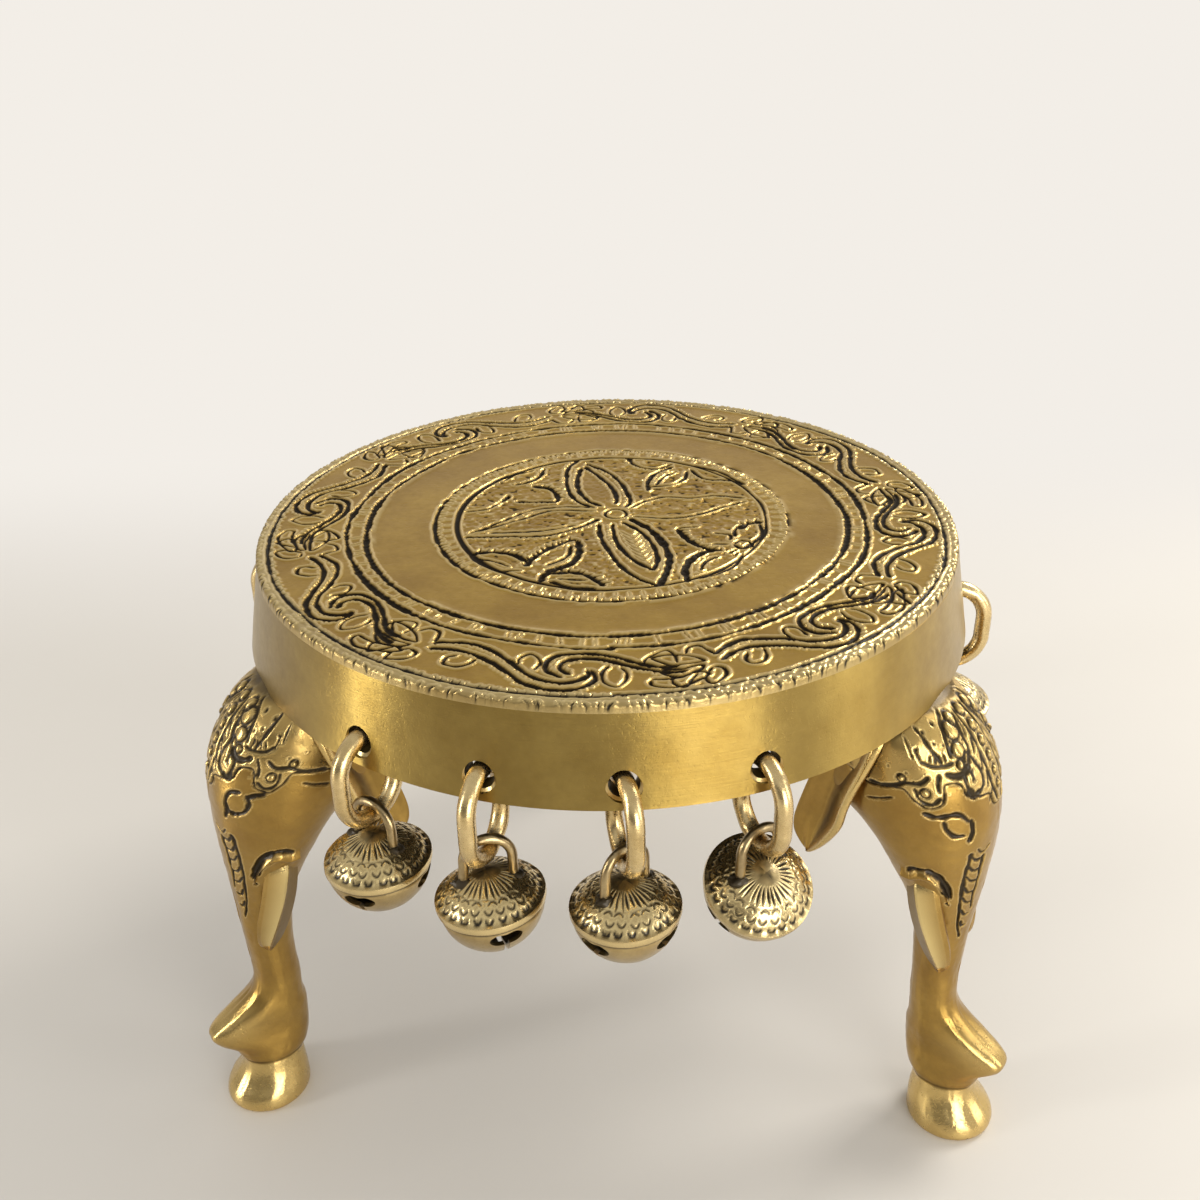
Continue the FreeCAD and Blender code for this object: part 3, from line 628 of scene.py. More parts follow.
# Brass. Scales are per metre, and the depths of grain, pits and dents are in metres.
brass = {
    "tone": (0.47, 0.30, 0.070), "shade": (0.35, 0.205, 0.040), "stain": (0.15, 0.085, 0.018),
    # Bright is for rubbed places and painted highlights, dark for patina and painted shade.
    "bright": (0.92, 0.73, 0.36), "dark": (0.012, 0.008, 0.004),
    "mottle": 55.0, "drift": (2.6, -0.8), "grime": 0.4, "wearAndHighlight": 0.7, "black": 0.98,
    "rough": 0.34, "roughSpread": 0.14, "roughCut": 0.35, "roughRubbed": -0.08,
    "coat": 0.1, "coatRough": 0.32, "stretch": 0.0, "stretchTurn": 0.25,
    "brush": "plain", "brushTurn": (0.4, 0.3, 0.9), "brushScale": (250.0, 2400.0, 900.0),
    "roundBrush": (0.09, 45.0, 2600.0),  # radius of the wall, scale round it and scale up it
    "grain": 0.25, "pits": 0.2, "dents": 0.25, "depths": (0.0001, 0.0002, 0.0006),
    "pitScale": 900.0, "pitEdge": (5.0, -2.9),
}
looks = {
    "deckTopBrass": {"tone": (0.57, 0.36, 0.070), "shade": (0.40, 0.235, 0.042), "rough": 0.38},
    "beadBrass": {"tone": (0.56, 0.42, 0.17), "shade": (0.42, 0.29, 0.10), "rough": 0.38, "coat": 0.3},
    "skirtBrass": {
        "tone": (0.47, 0.325, 0.078), "shade": (0.32, 0.205, 0.036), "grime": 0.3, "rough": 0.37, "coat": 0.45,
        "stretch": 0.85, "brush": "round", "grain": 0.35, "pits": 0.12, "pitScale": 1500.0, "dents": 0.4,
    },
    # The legs' bright tone also paints the highlights on toe and foot.
    "legBrass": {
        "tone": (0.50, 0.31, 0.066), "shade": (0.37, 0.21, 0.038), "bright": (0.94, 0.71, 0.29),
        "wearAndHighlight": 0.85, "black": 0.93, "rough": 0.31, "coat": 0.4, "stretch": 0.7,
    },
    # The tusks' bright tone paints the highlight on their front facet.
    "tuskBrass": {
        "tone": (0.50, 0.32, 0.085), "shade": (0.38, 0.23, 0.05), "bright": (0.94, 0.75, 0.34),
        "wearAndHighlight": 0.95, "grime": 0.25, "rough": 0.25, "coat": 0.3,
    },
    "bellBrass": {
        "tone": (0.66, 0.50, 0.23), "shade": (0.43, 0.30, 0.11), "mottle": 160.0, "rough": 0.30, "coat": 0.5,
    },
    "ringBrass": {
        "tone": (0.88, 0.68, 0.34), "shade": (0.62, 0.45, 0.19), "mottle": 140.0, "grime": 0.2,
        "rough": 0.27, "coat": 0.6, "pits": 0.08, "dents": 0.4,
    },
    "loopBrass": {
        "tone": (0.62, 0.48, 0.25), "shade": (0.30, 0.215, 0.10), "mottle": 260.0, "grime": 0.5,
        "rough": 0.30, "coat": 0.5,
    },
    "castBrass": {
        "tone": (0.30, 0.18, 0.045), "shade": (0.18, 0.10, 0.025), "rough": 0.5, "grain": 0.1, "pits": 0.7,
    },
}


def brushGrain(tree, place, look):
    # Fine noise drawn out one way, or round the upright axis: arc length by height.
    if look["brush"] == "plain":
        values = {"Vector": place, "Rotation": look["brushTurn"], "Scale": look["brushScale"]}
        return noise(tree, addNode(tree, "ShaderNodeMapping", values).outputs[0], 1.0, 2.0)
    radius, across, up = look["roundBrush"]
    x, y, z = split(tree, place)
    arc = maths(tree, "MULTIPLY", maths(tree, "ARCTAN2", y, x), radius)
    values = {"X": maths(tree, "MULTIPLY", arc, across), "Y": maths(tree, "MULTIPLY", z, up), "Z": 0.0}
    return noise(tree, addNode(tree, "ShaderNodeCombineXYZ", values).outputs[0], 1.0, 3.0)


def makeBrass(name, look):
    # The base drifts between two shades under stains. The bright layer marks rubbed places and painted highlights, and
    # the dark layer marks patina in the cuts and painted shade. Roughness follows the small noise, and three bumps lie
    # on each other: the brush's grain, pits and broad dents.
    material, tree, shader, place = newMaterial(name)
    broad = noise(tree, place, look["mottle"], 5.0, Roughness=0.6)
    small = noise(tree, place, look["mottle"] * 9, 4.0, Roughness=0.65)
    drift = clamp(tree, maths(tree, "MULTIPLY_ADD", broad, *look["drift"]))
    patinaAndShade, polishAndHighlight = (addNode(tree, "ShaderNodeAttribute", attribute_name=layer).outputs["Fac"]
                      for layer in ("patinaAndShade", "polishAndHighlight"))
    color = mixColor(tree, drift, look["shade"], look["tone"])
    layers = ((small, "grime", "stain"), (polishAndHighlight, "wearAndHighlight", "bright"), (patinaAndShade, "black", "dark"))
    for amount, strength, over in layers:
        color = mixColor(tree, maths(tree, "MULTIPLY", amount, look[strength]), color, look[over])
    rough = maths(tree, "MULTIPLY_ADD", small, look["roughSpread"], look["rough"] - look["roughSpread"] / 2)
    rough = maths(tree, "MULTIPLY_ADD", patinaAndShade, look["roughCut"], rough)
    rough = maths(tree, "MULTIPLY_ADD", polishAndHighlight, look["roughRubbed"], rough)
    pits = clamp(tree, maths(tree, "MULTIPLY_ADD", noise(tree, place, look["pitScale"], 2.0), *look["pitEdge"]))
    normal = bump(tree, look["grain"], look["depths"][0], brushGrain(tree, place, look))
    normal = bump(tree, look["pits"], look["depths"][1], maths(tree, "SUBTRACT", 1.0, pits), Normal=normal)
    normal = bump(tree, look["dents"], look["depths"][2], broad, Normal=normal)
    setSockets(tree, shader, {
        "Base Color": color, "Metallic": 1.0, "Roughness": rough, "Normal": normal,
        "Coat Weight": look["coat"], "Coat Roughness": look["coatRough"],
    })
    if look["stretch"]:
        tangent = addNode(tree, "ShaderNodeTangent", direction_type="RADIAL", axis="Z").outputs[0]
        stretch = {"Anisotropic": look["stretch"], "Anisotropic Rotation": look["stretchTurn"], "Tangent": tangent}
        setSockets(tree, shader, stretch)
    return material


finishes = {name: makeBrass(name, {**brass, **look}) for name, look in looks.items()}
print("finishes made")

for name, plate in deckPlates.items():
    dress(makePlate(name, *plate), finishes["deckTopBrass"])
dress(makeBead(), finishes["beadBrass"])
dress(makeSkirt(), finishes["skirtBrass"], replaced=("deck",))
print("deck made")


def buildAtLeg(i, name, *bodies, layers=None, crease=38):
    # A mesh from surfaces made over +X, turned about the deck's upright axis to the angle of a leg.
    c, s = math.cos(math.radians(legAngles[i])), math.sin(math.radians(legAngles[i]))
    turn = np.array(((c, s, 0), (-s, c, 0), (0, 0, 1)))
    return buildMesh(name, [(points @ turn, *faces) for points, *faces in bodies], layers, crease)


# Bosses under the deck, where the legs' screws go in: (radius, height), on a circle round the middle.
boss = {
    "circle": 58.0,
    "profile": ((2.6, 148.2), (5.9, 148.2), (6.3, 147.7), (6.0, 147.1), (6.0, 142.4), (5.7, 142.0),
                (2.9, 142.0), (2.55, 142.3)),
}


def makeBoss(i):
    # The profile carried round an axis that stands on the circle at the leg's angle.
    grid = turnedGrid(boss["profile"], 48) + (boss["circle"], 0, 0)
    return buildAtLeg(i, "deckBoss%d" % (i + 1), shell(grid))


# Legs. Stations are drop below the top, back, widest place and front from the deck's centre, and half width.
leg = {
    "stations": (
        (22.4, 70, 82, 92.0, 11.2), (23.6, 68.4, 82.5, 94.6, 13.0), (27, 67.8, 85.4, 99.4, 15.6),
        (33, 65.8, 86.3, 104.4, 17.2), (40, 64.2, 87.6, 108.0, 17.6), (45.5, 63.6, 88.8, 109.5, 17.4),
        (48.8, 65.4, 89.8, 110.1, 17.1), (51.4, 69.4, 90.8, 110.3, 16.8), (54, 73.6, 91.8, 110.3, 16.4),
        (58, 78.2, 93.2, 110.3, 15.6), (64, 83, 95.2, 110, 14), (70, 86.2, 96.9, 109.5, 11.8),
        (78, 90.2, 99.2, 108.6, 8.9), (86, 92.8, 100, 107.6, 7.0), (96, 94, 100.35, 106.8, 6.1),
        (106, 94.6, 100.5, 106.4, 5.8), (112, 94.6, 100.8, 106.9, 5.9), (116, 94.9, 101, 108.8, 6.1),
        (119.4, 95, 101.5, 112.6, 6.3), (122.4, 94.6, 102, 116.8, 6.3), (124.6, 94.7, 102.4, 120.1, 6.1),
        (126.4, 94.8, 102.7, 121.7, 6.0), (128.4, 95, 103, 121.2, 6.1), (130.8, 95.3, 103.4, 118.6, 6.5),
        (133.6, 95.8, 104.2, 116.3, 6.8), (136.4, 96.8, 105.2, 115.2, 7.0), (137.3, 97.4, 105.6, 114.6, 6.9),
        (138.2, 98.1, 106.0, 114.4, 7.2), (140.6, 98.2, 106.6, 114.9, 7.9), (144, 97.9, 107.6, 116.9, 9.4),
        (147, 97.8, 108.6, 119.3, 10.8), (149, 97.8, 109, 120.2, 11.2), (150.8, 98.0, 109, 120.1, 11.0),
        (151.5, 98.8, 109, 119.3, 10.3),
    ),
    "lean": (0.0, 0.0, 1.7), "leanLevel": 98.0, "leanReach": 22.0, "toeFrom": 112.0, "toeTo": 135.0,
    "rows": ((22.4, 90, 0.3), (90, 134, 0.75), (134, 140, 0.3), (140, 151.5, 0.75)),
}


def legStation(drop):
    # Back, widest place, front and half width at these drops, smoothly between the stations.
    table = np.array(leg["stations"])
    return smoothTable(drop, table[:, 0], table[:, 1:]).T


def legPoint(theta, drop, lean=0.0):
    # A point of the plain leg: an oval whose front and back halves have their own depth, squarer at the toe.
    theta, drop = np.radians(np.ravel(theta)), np.ravel(drop)
    back, middle, front, half = legStation(drop)
    c, s = np.cos(theta), np.sin(theta)
    toe = np.clip((drop - leg["toeFrom"]) / 9, 0, 1) * np.clip((leg["toeTo"] - drop) / 5, 0, 1)
    power = np.where(c > 0, 1 - 0.36 * toe, 1.0)
    reach = np.where(c > 0, front - middle, middle - back)
    out = middle + reach * np.sign(c) * np.abs(c) ** power + lean * hill(drop, leg["leanLevel"], leg["leanReach"])
    return join(out, half * np.sign(s) * np.abs(s) ** power, sizes["topLevel"] - drop)


# Ornament of the legs in (degrees from the front, drop); spots and beads have a size, groups a cut's width.
headdress = {
    "bold": (
        ((24, 23.9), (32, 26.5), (37, 32.2)), ((11, 25), (16, 27.6), (19, 31.7), (25, 34.2)),
        ((61, 31.9), (55, 33.1), (46, 33.5), (36, 32.9)), ((57, 35.4), (64, 37.2), (72, 37.4), (84, 39), (98, 39.8)),
        ((68, 38.4), (67, 41), (63, 42.4), (59, 42.6), (52, 40.9)), ((7, 24.5), (8, 30), (9, 36), (8, 41), (3, 45.5)),
        ((32, 57.8), (38, 65.3), (42, 73.2), (39, 85), (32, 88.1)), ((18, 59.7), (21, 67), (24, 73.2), (21, 78)),
        ((50, 35.3), (52, 37.4), (53, 39.7)), ((57, 25.3), (51, 29.5), (45, 33)),
        ((95, 64.6), (84, 63.0), (74, 62.7)), ((84, 65.9), (74, 66.4), (66, 68.6), (61.5, 71.6)),
    ),
    "heavy": (
        ((45, 35.2), (37, 36.1), (30, 35.6), (25, 34.3)), ((31, 39.4), (27.5, 41.6), (22, 40.4)),
        ((74, 62.7), (64, 64.8), (58.5, 68.2), (55.5, 72.5)),
    ),
    "closed": (
        ((23, 31.6), (18, 34.5), (15.5, 37.5), (19, 40), (26, 41.2), (31, 39), (31, 36), (28, 33.4)),
    ),
    "fine": (
        ((10, 26), (15, 29.2)), ((10, 29.6), (16, 33)), ((10, 33.4), (15, 37)), ((10, 37), (14, 41)),
        ((9, 41), (13, 45)), ((64, 29.2), (60, 33)), ((70, 27), (66, 31.5)), ((84, 42.4), (92, 43.8), (101, 45)),
        ((11, 57), (20, 58.6), (26, 56.8)), ((23, 35), (26.5, 38.6)), ((26.5, 35), (23.5, 38.2)),
        ((54, 32.8), (52.5, 30.6)), ((50, 33.1), (49, 30.6)), ((46, 33.3), (45.6, 30.6)), ((42, 33.2), (42.4, 30.4)),
    ),
    "rungs": (
        ((33, 58.4), (26, 60.6), (20, 60.4)), ((35, 61.6), (28, 63.9), (20, 63.8)),
        ((37, 65), (29, 67.4), (22, 67.4)), ((39.5, 68.8), (31, 71.4), (23.5, 71.2)),
        ((41, 72.6), (32, 75.2), (24, 75)), ((40, 77.4), (32, 79.8), (24, 79.4)), ((38, 81.8), (31, 84), (25, 83.6)),
    ),
    "spots": (
        (39, 25.4, 1.1), (52, 26.4, 1.0), (46.5, 28.5, 0.9), (39, 29.2, 0.9), (62, 29.4, 0.9), (32, 28.8, 0.9),
        (20.5, 29.4, 0.8), (24, 32.4, 0.7), (50, 35.2, 0.9), (72, 34.9, 0.7), (68, 36.8, 0.6), (60.5, 74.8, 1.2),
        (84, 34, 0.6), (46, 40, 0.4),
    ),
    "beads": (
        (0, 25.4, 1.1), (0, 28.4, 1.2), (0, 31.6, 1.2), (0, 35, 1.2), (0, 38.4, 1.1), (0, 41.6, 1.0), (18, 25.6, 1.3),
        (25, 27.2, 1.7), (28, 30.8, 1.7), (31.5, 33.8, 1.0), (62, 39.6, 1.1), (76, 36.4, 0.9),
    ),
    "edge": (
        (0, 46.5), (7, 46), (13, 42.5), (20, 42.2), (32, 41.4), (37, 38), (47, 37.6), (52, 42.6), (62, 43.8),
        (70, 42), (76, 39.2), (84, 39.6), (100, 40.4), (112, 38), (125, 30),
    ),
    "roundEye": (
        ((41, 44.4), (32, 45.1), (28, 48), (31.5, 50.6), (38.5, 51)),
        ((38.5, 51), (45.5, 50), (48.5, 47.4), (45.5, 45.2)), ((46, 45.8), (53, 44.9), (60, 44.4)),
        ((30, 50), (27, 53)),
    ),
    "almondEye": (
        ((66, 45.4), (58, 46.2), (49, 45.8), (41, 45.8), (34, 48)), ((53, 47.4), (52, 49.4), (47, 51.4), (38, 51.8)),
        ((33, 47.4), (32, 50.5), (35, 54)),
    ),
    "lip": ((58.5, 73.5), (61, 70), (66, 67), (73, 64.9), (82, 64.8), (92, 66.4)), "lipSpan": (57, 104),
    "groups": {
        "bold": 1.25, "heavy": 2.0, "closed": 1.25, "fine": 0.85, "rungs": 1.15, "eye": 1.6, "edge": 0.9,
    },
}


def roundScale(drop):
    # Millimetres of girth for one degree at each drop: the mean of half width and front depth, per radian.
    back, middle, front, half = legStation(np.ravel(drop))
    return (half + (front - middle)) / 2 * math.pi / 180


def beadPlaces():
    # Beads away from the front's middle stand on both sides.
    return [(side * theta, *more) for theta, *more in headdress["beads"] for side in ((1, -1) if theta else (1,))]


def legLines(i):
    # Every cut in a leg, on both its sides. It is cut flat, in millimetres, and its first axis is then
    # divided by the girth of a degree at its drop.
    lines, seed = [], 300 + i * 40
    shapes = {**headdress, "eye": headdress["almondEye" if i == 0 else "roundEye"], "edge": (headdress["edge"],)}
    for group, width in headdress["groups"].items():
        for shape in shapes[group]:
            for side in (1, -1):
                seed += 1
                scale = roundScale(np.array(shape)[:, 1]).mean()
                flat = np.array(shape, float) * (scale, 1)
                line, half, _ = chisel(flat, width, seed, 0.12, legHand, group == "closed")
                lines.append((line / (scale, 1) * (side, 1), half, scale))
    for theta, drop, size in headdress["spots"]:
        lines += [(np.array([[side * theta, drop]]), size / 2, roundScale(drop)[0]) for side in (1, -1)]
    around = np.linspace(0, 2 * math.pi, 60)
    for theta, drop, size in beadPlaces():
        scale = roundScale(drop)[0]
        lines.append((join(theta + size * np.cos(around) / scale, drop + size * np.sin(around)), 0.42, scale))
    return lines


def makeLegField(i):
    # The cuts of one leg; its plate, which is 1 above the headdress's edge; and its relief, the sum of the
    # plate, a half ball at each bead and a ridge along the lip.
    field = makeField((-130, 22), (130, 100), (0.5, 0.12), legLines(i), 0.4)
    axes = [field["first"][k] + np.arange(field["inside"].shape[k]) * field["cell"][k] for k in (0, 1)]
    u, v = np.meshgrid(*axes, indexing="ij")
    border, lip = (np.interp(np.abs(u), *np.array(headdress[key], float).T) for key in ("edge", "lip"))
    plate = np.clip((border - v) / 0.7 + 0.5, 0, 1)
    field["plate"] = plate * plate * (3 - 2 * plate)
    raised, scale = 0.45 * field["plate"], roundScale(axes[1])
    for theta, drop, size in beadPlaces():
        gap = np.hypot((u - theta) * scale, v - drop) / size
        raised = raised + 0.55 * np.sqrt(np.clip(1 - gap ** 2, 0, 1))
    inLip = (np.abs(u) > headdress["lipSpan"][0]) & (np.abs(u) < headdress["lipSpan"][1])
    field["raised"] = raised + inLip * 1.3 * hill(v, lip, 1.2)
    return field


def makeLeg(i):
    # Grid of drop by angle round the leg: the plain oval, moved outwards by the relief and inwards by the cuts.
    # The headdress is rubbed, the toe carries a painted highlight and the foot is rubbed bright with a painted
    # highlight, and the two joints under the rim and above the foot are dark.
    field = makeLegField(i)
    theta = np.concatenate([np.arange(-108, 108, 1.05), np.arange(108, 252, 4.2)])
    drop = np.concatenate([np.arange(*rows) for rows in leg["rows"]] + [[sizes["topLevel"]]])
    v, u = np.meshgrid(drop, theta, indexing="ij")
    points = legPoint(u, v, leg["lean"][i]).reshape(*u.shape, 3)
    signed = np.where(u > 180, u - 360, u)
    active = (v < 98) & (np.abs(signed) < 128)
    inside, raised, plate = (readField(field, layer, signed, v) for layer in ("inside", "raised", "plate"))
    lift, patinaAndShade, polishAndHighlight = (values * active for values in cutShape(inside, 1.0, 0.7, 0.07, 0.19))
    lift = lift + raised * active
    lift = lift + 0.12 * softNoise(signed * 0.25, v, 6.0, 40 + i) + 0.05 * softNoise(signed * 0.25, v, 2.0, 44 + i)
    lift[:5] *= 0.2
    lift[-6:] *= 0
    normal = np.cross(np.gradient(points, axis=1), np.gradient(points, axis=0))
    normal /= np.linalg.norm(normal, axis=2)[..., None] + 1e-9
    fromMiddle = join(points[..., 0] - legStation(drop)[1][:, None], points[..., 1], 0)
    outward = np.sign(np.sum(normal * fromMiddle, axis=2))
    points = points + normal * (outward * lift)[..., None]
    # Painted highlight on the front of the toe; on the foot, rubbed brass with a painted highlight.
    toe = hill(v, 124, 5) * np.clip(np.cos(np.radians(signed)) * 1.5, 0, 1)
    foot = np.clip((v - 137.6) / 0.8, 0, 0.6)
    polishAndHighlight = np.clip(polishAndHighlight * 0.45 + foot + 0.45 * toe + 0.3 * plate * active, 0, 1)
    grime = np.maximum(hill(v, 23.0, 1.4) * 0.85, hill(v, 137.4, 0.35) * 0.75)
    layers = {"patinaAndShade": np.append(np.maximum(patinaAndShade, grime), 0.5), "polishAndHighlight": polishAndHighlight}
    body = shell(points, [[82, 0, sizes["topLevel"] - drop[0]], [109, 0, 0.0]])
    return buildAtLeg(i, "leg%dCasting" % (i + 1), body, layers=layers, crease=60)


# Tusks: a flattened blade with a ridge along its outer face. The path is (out, sideways, drop), and depth and
# width scale the section's two axes along it.
tusk = {
    "path": ((97.0, 8.6, 67.0), (97.6, 9.6, 72.0), (99.2, 9.3, 80.0), (101.3, 8.5, 88.0), (102.7, 7.6, 94.0),
             (103.2, 7.1, 97.6)),
    "depth": (3.7, 4.5, 4.9, 4.7, 3.5, 1.3), "width": (2.7, 3.3, 3.4, 3.1, 2.3, 1.0), "turn": 14.0,
    "section": ((1.0, -0.1), (0.86, 0.32), (0.24, 1.0), (0.12, 1.0), (-0.9, 0.34), (-1.0, 0.0), (-0.85, -0.5),
                (0.0, -0.8), (0.85, -0.5)),
    "ridge": 2.5, "ridgeSlide": 0.42,
}


def makeTusk(i, side):
    # The section carried along the path, with its long axis turned outwards. The ridge slides forwards on the way
    # down. The face from the front corner to the ridge carries a painted highlight that grows towards the tip, the
    # rear face a painted shade, and the root is dark.
    t = np.sin(np.linspace(0, 1, 60) * math.pi / 2)
    knots = np.linspace(0, 1, len(tusk["path"]))
    path = smoothTable(t, knots, np.array(tusk["path"]) * (1, side, -1) + (0, 0, sizes["topLevel"]))
    depth, width = (smoothTable(t, knots, tusk[key])[:, None] for key in ("depth", "width"))
    corners = np.array(tusk["section"] + tusk["section"][:1])
    along = np.linspace(0, len(corners) - 1, 54, endpoint=False)
    long, thick = (np.interp(along, np.arange(len(corners)), corners[:, k]) for k in (0, 1))
    c, s = math.cos(math.radians(tusk["turn"])), math.sin(math.radians(tusk["turn"]))
    forward, across = np.array((c, side * s, 0.0)), np.array((-s, side * c, 0.0))
    grid = path[:, None] + (long * depth)[..., None] * forward + (thick * width)[..., None] * across
    slide = tusk["ridgeSlide"] * (2 * t - 1)[:, None] * hill(along, tusk["ridge"], 0.7) * depth
    grid = grid + slide[..., None] * forward
    # Painted highlight on the face up to the ridge, growing towards the tip; painted shade on the rear face.
    polishAndHighlight = np.clip((along - 0.7) / 1.5, 0, 1) * (along < 2.7) * np.clip(0.5 + t, 0, 1)[:, None]
    patinaAndShade = np.clip(0.42 * ((along > 3.1) & (along < 5.5)) + 0.8 * hill(t, 0, 0.1)[:, None], 0, 1)
    body = shell(grid, [path[0], path[-1] - (0, 0, 0.5)])
    layers = {"patinaAndShade": np.append(patinaAndShade, 1), "polishAndHighlight": polishAndHighlight}
    return buildAtLeg(i, sideName(i, "Tusk", side), body, layers=layers, crease=22)


def sideName(i, part, side):
    return "leg%d%s%s" % (i + 1, part, "Left" if side > 0 else "Right")


# Ears: a leaf swept back under the rim, with a rolled front edge and a dished middle. Its two outlines are
# (out, drop), and stand is how far its front edge lies from the leg's middle plane.
ear = {
    "front": ((87.0, 25.5), (86.6, 30), (84.8, 36), (82.4, 42.5), (80.4, 49), (79, 55), (76, 62), (73, 68.5)),
    "rear": ((72.5, 26), (71.5, 31), (70.3, 38), (68.6, 45), (66.6, 52), (65, 58), (64, 64), (64.5, 68.5)),
    "stand": (15.0, 16.9, 17.9, 18.2, 17.9, 17.2, 16.4, 15.6), "tipFrom": 0.72,
    "thick": 1.6, "roll": 3.1, "dish": 3.0, "fold": 0.175, "flare": 3.2,
}


def makeEar(i, side):
    # Rows run down the ear; across a row lie its outer face and then its inner one. Between the outlines its
    # distance from the middle plane is the stand less the flare, plus dish, roll and folds, which are powers
    # and products of sines and a bell curve.
    t = np.sin(np.linspace(0, 1, 90) * math.pi / 2)
    knots = np.linspace(0, 1, len(ear["front"]))
    front, rear, stand = (smoothTable(t, knots, ear[key]) for key in ("front", "rear", "stand"))
    t, s = t[:, None], np.linspace(0, 1, 30)
    tip = np.sqrt(np.clip(1 - np.clip((t - ear["tipFrom"]) / (1 - ear["tipFrom"]), 0, 1) ** 2, 0, 1))
    middle = (front + rear) / 2
    front, rear = middle + (front - middle) * tip, middle + (rear - middle) * tip
    across, face = np.append(s, s[::-1]), np.repeat((1.0, -1.0), 30)
    place = between(front[:, None], rear[:, None], across[:, None])
    arch, sag = np.sin(math.pi * across), np.sin(math.pi * t)
    dish = -ear["dish"] * arch ** 1.3 * np.sin(math.pi * np.clip(t, 0.02, 1))
    roll = ear["roll"] * hill(across, 0.12, 0.15) * np.clip(sag, 0, 1) ** 0.4
    fold = ear["fold"] * np.sin(across * 17 + 4 * t) * arch * (t > 0)
    flare = ear["flare"] * across * (0.3 + 0.7 * sag)
    thin = 0.35 + 0.65 * np.sin(math.pi * np.clip(t, 0.03, 0.985)) ** 0.5
    half = ear["thick"] / 2 * (0.25 + 0.75 * arch ** 0.5) * thin
    v = stand[:, None] - flare + dish + roll + fold + half * face
    grid = join(place[..., 0], side * v, sizes["topLevel"] - place[..., 1])
    patinaAndShade = 0.6 * hill(across, 0.36, 0.12) * np.clip(sag * 1.4, 0, 1) * (face > 0)
    layers = {"patinaAndShade": patinaAndShade, "polishAndHighlight": 0.9 * np.clip(roll / ear["roll"], 0, 1) * (face > 0)}
    body = shell(grid, grid[[0, -1]].mean(axis=1))
    return buildAtLeg(i, sideName(i, "Ear", side), body, layers=layers, crease=50)


# Lug: a flat arm with a rounded end round the screw, on a neck that rises from the head.
lug = {
    "half": 8.0, "reach": 26.0, "hole": 2.8, "top": 142.0, "under": 137.0, "round": 0.4,
    "neckAt": 77.0, "neckHalf": (7.5, 10.0), "neckRows": ((126.0, 1.0), (134.0, 1.0), (141.0, 1.0), (142.0, 0.96)),
}


def makeLug(i):
    # The arm's outline is the nearer of two sides and an end in front, and a half circle behind. The neck is
    # a box with rounded corners, from small powers of the cosine and the sine.
    turn, hole, top, under = fullTurn(72), lug["hole"], lug["top"], lug["under"]
    c, s = np.cos(turn), np.sin(turn)
    flat = np.minimum(lug["half"] / np.maximum(np.abs(s), 1e-6), lug["reach"] / np.maximum(c, 1e-6))
    outer = np.where(c > 0, flat, lug["half"])
    inner = outer - lug["round"]
    rings = ((hole, top - 0.2), (inner, top), (outer, top - 0.4))
    rings += ((outer, under + 0.4), (inner, under), (hole, under + 0.1))
    arm = np.array([onCircle(radius, turn, z) for radius, z in rings]) + (boss["circle"], 0, 0)
    boxX, boxY = (np.abs(value) ** 0.28 * np.sign(value) * half for value, half in zip((c, s), lug["neckHalf"]))
    neck = np.array([join(lug["neckAt"] + boxX * k, boxY * k, z) for z, k in lug["neckRows"]])
    poles = [[lug["neckAt"], 0, lug["neckRows"][end][0]] for end in (0, -1)]
    return buildAtLeg(i, "leg%dLug" % (i + 1), shell(arm), shell(neck, poles))


for i in range(3):
    dress(makeBoss(i), finishes["castBrass"])
    dress(makeLeg(i), finishes["legBrass"], replaced=("leg_%d" % (i + 1),))
    dress(makeLug(i), finishes["castBrass"])
    for side in (1, -1):
        dress(makeTusk(i, side), finishes["tuskBrass"])
        dress(makeEar(i, side), finishes["legBrass"])
print("legs made")

# Rings and loops. Each turn is for one of the four places in a row.
ring = {"turn": (0.0, -4.0, 14.0, 6.0), "level": 133.05, "arc": 8.1, "straight": 4.0, "wire": 2.0, "lift": 1.4}
ringHang = 2 * ring["arc"] + ring["straight"]  # from the top of a ring's path to its lowest place
loop = {
    "turn": (0.0, 28.0, 36.0, 16.0), "arc": 5.4, "wire": 1.15, "rise": -2.0, "footRise": 4.2,
    "solder": (2.6, 2.3, 1.5), "solderRise": 0.4,
}
bell = {
    "lean": (2.0, 0.0, 0.0, 29.0), "roll": (2.0, 5.0, 2.0, 0.0), "turn": (20.0, 37.0, 50.0, 20.0),
    "drop": 12.3, "radius": 12.1, "dome": 7.2, "bowl": 12.3, "wall": 1.2,
    "band": ((-0.15, 0.95), (0.25, 0.78), (0.32, 0.4), (0.32, -0.4), (0.25, -0.75), (-0.08, -0.95), (-0.28, -1.25),
             (-0.18, -1.7)),
    "beanWidth": 7.4, "beanHeight": 3.2, "beanLevel": 3.4, "slit": 1.15,
    # Engraving by distance from the axis. A row of punches is (count, distance, half length, bulge, half
    # width of the cut, phase).
    "rays": 30, "rayFrom": 3.2, "rayTo": (6.4, 7.6),
    "punches": ((18, 8.2, 0.9, -0.6, 0.3, 0.0), (22, 9.5, 0.85, 0.6, 0.33, 0.5), (24, 10.9, 0.75, 0.45, 0.42, 0.0)),
    "dots": 24, "dotsAt": 11.25, "scribedAt": 7.5,
}


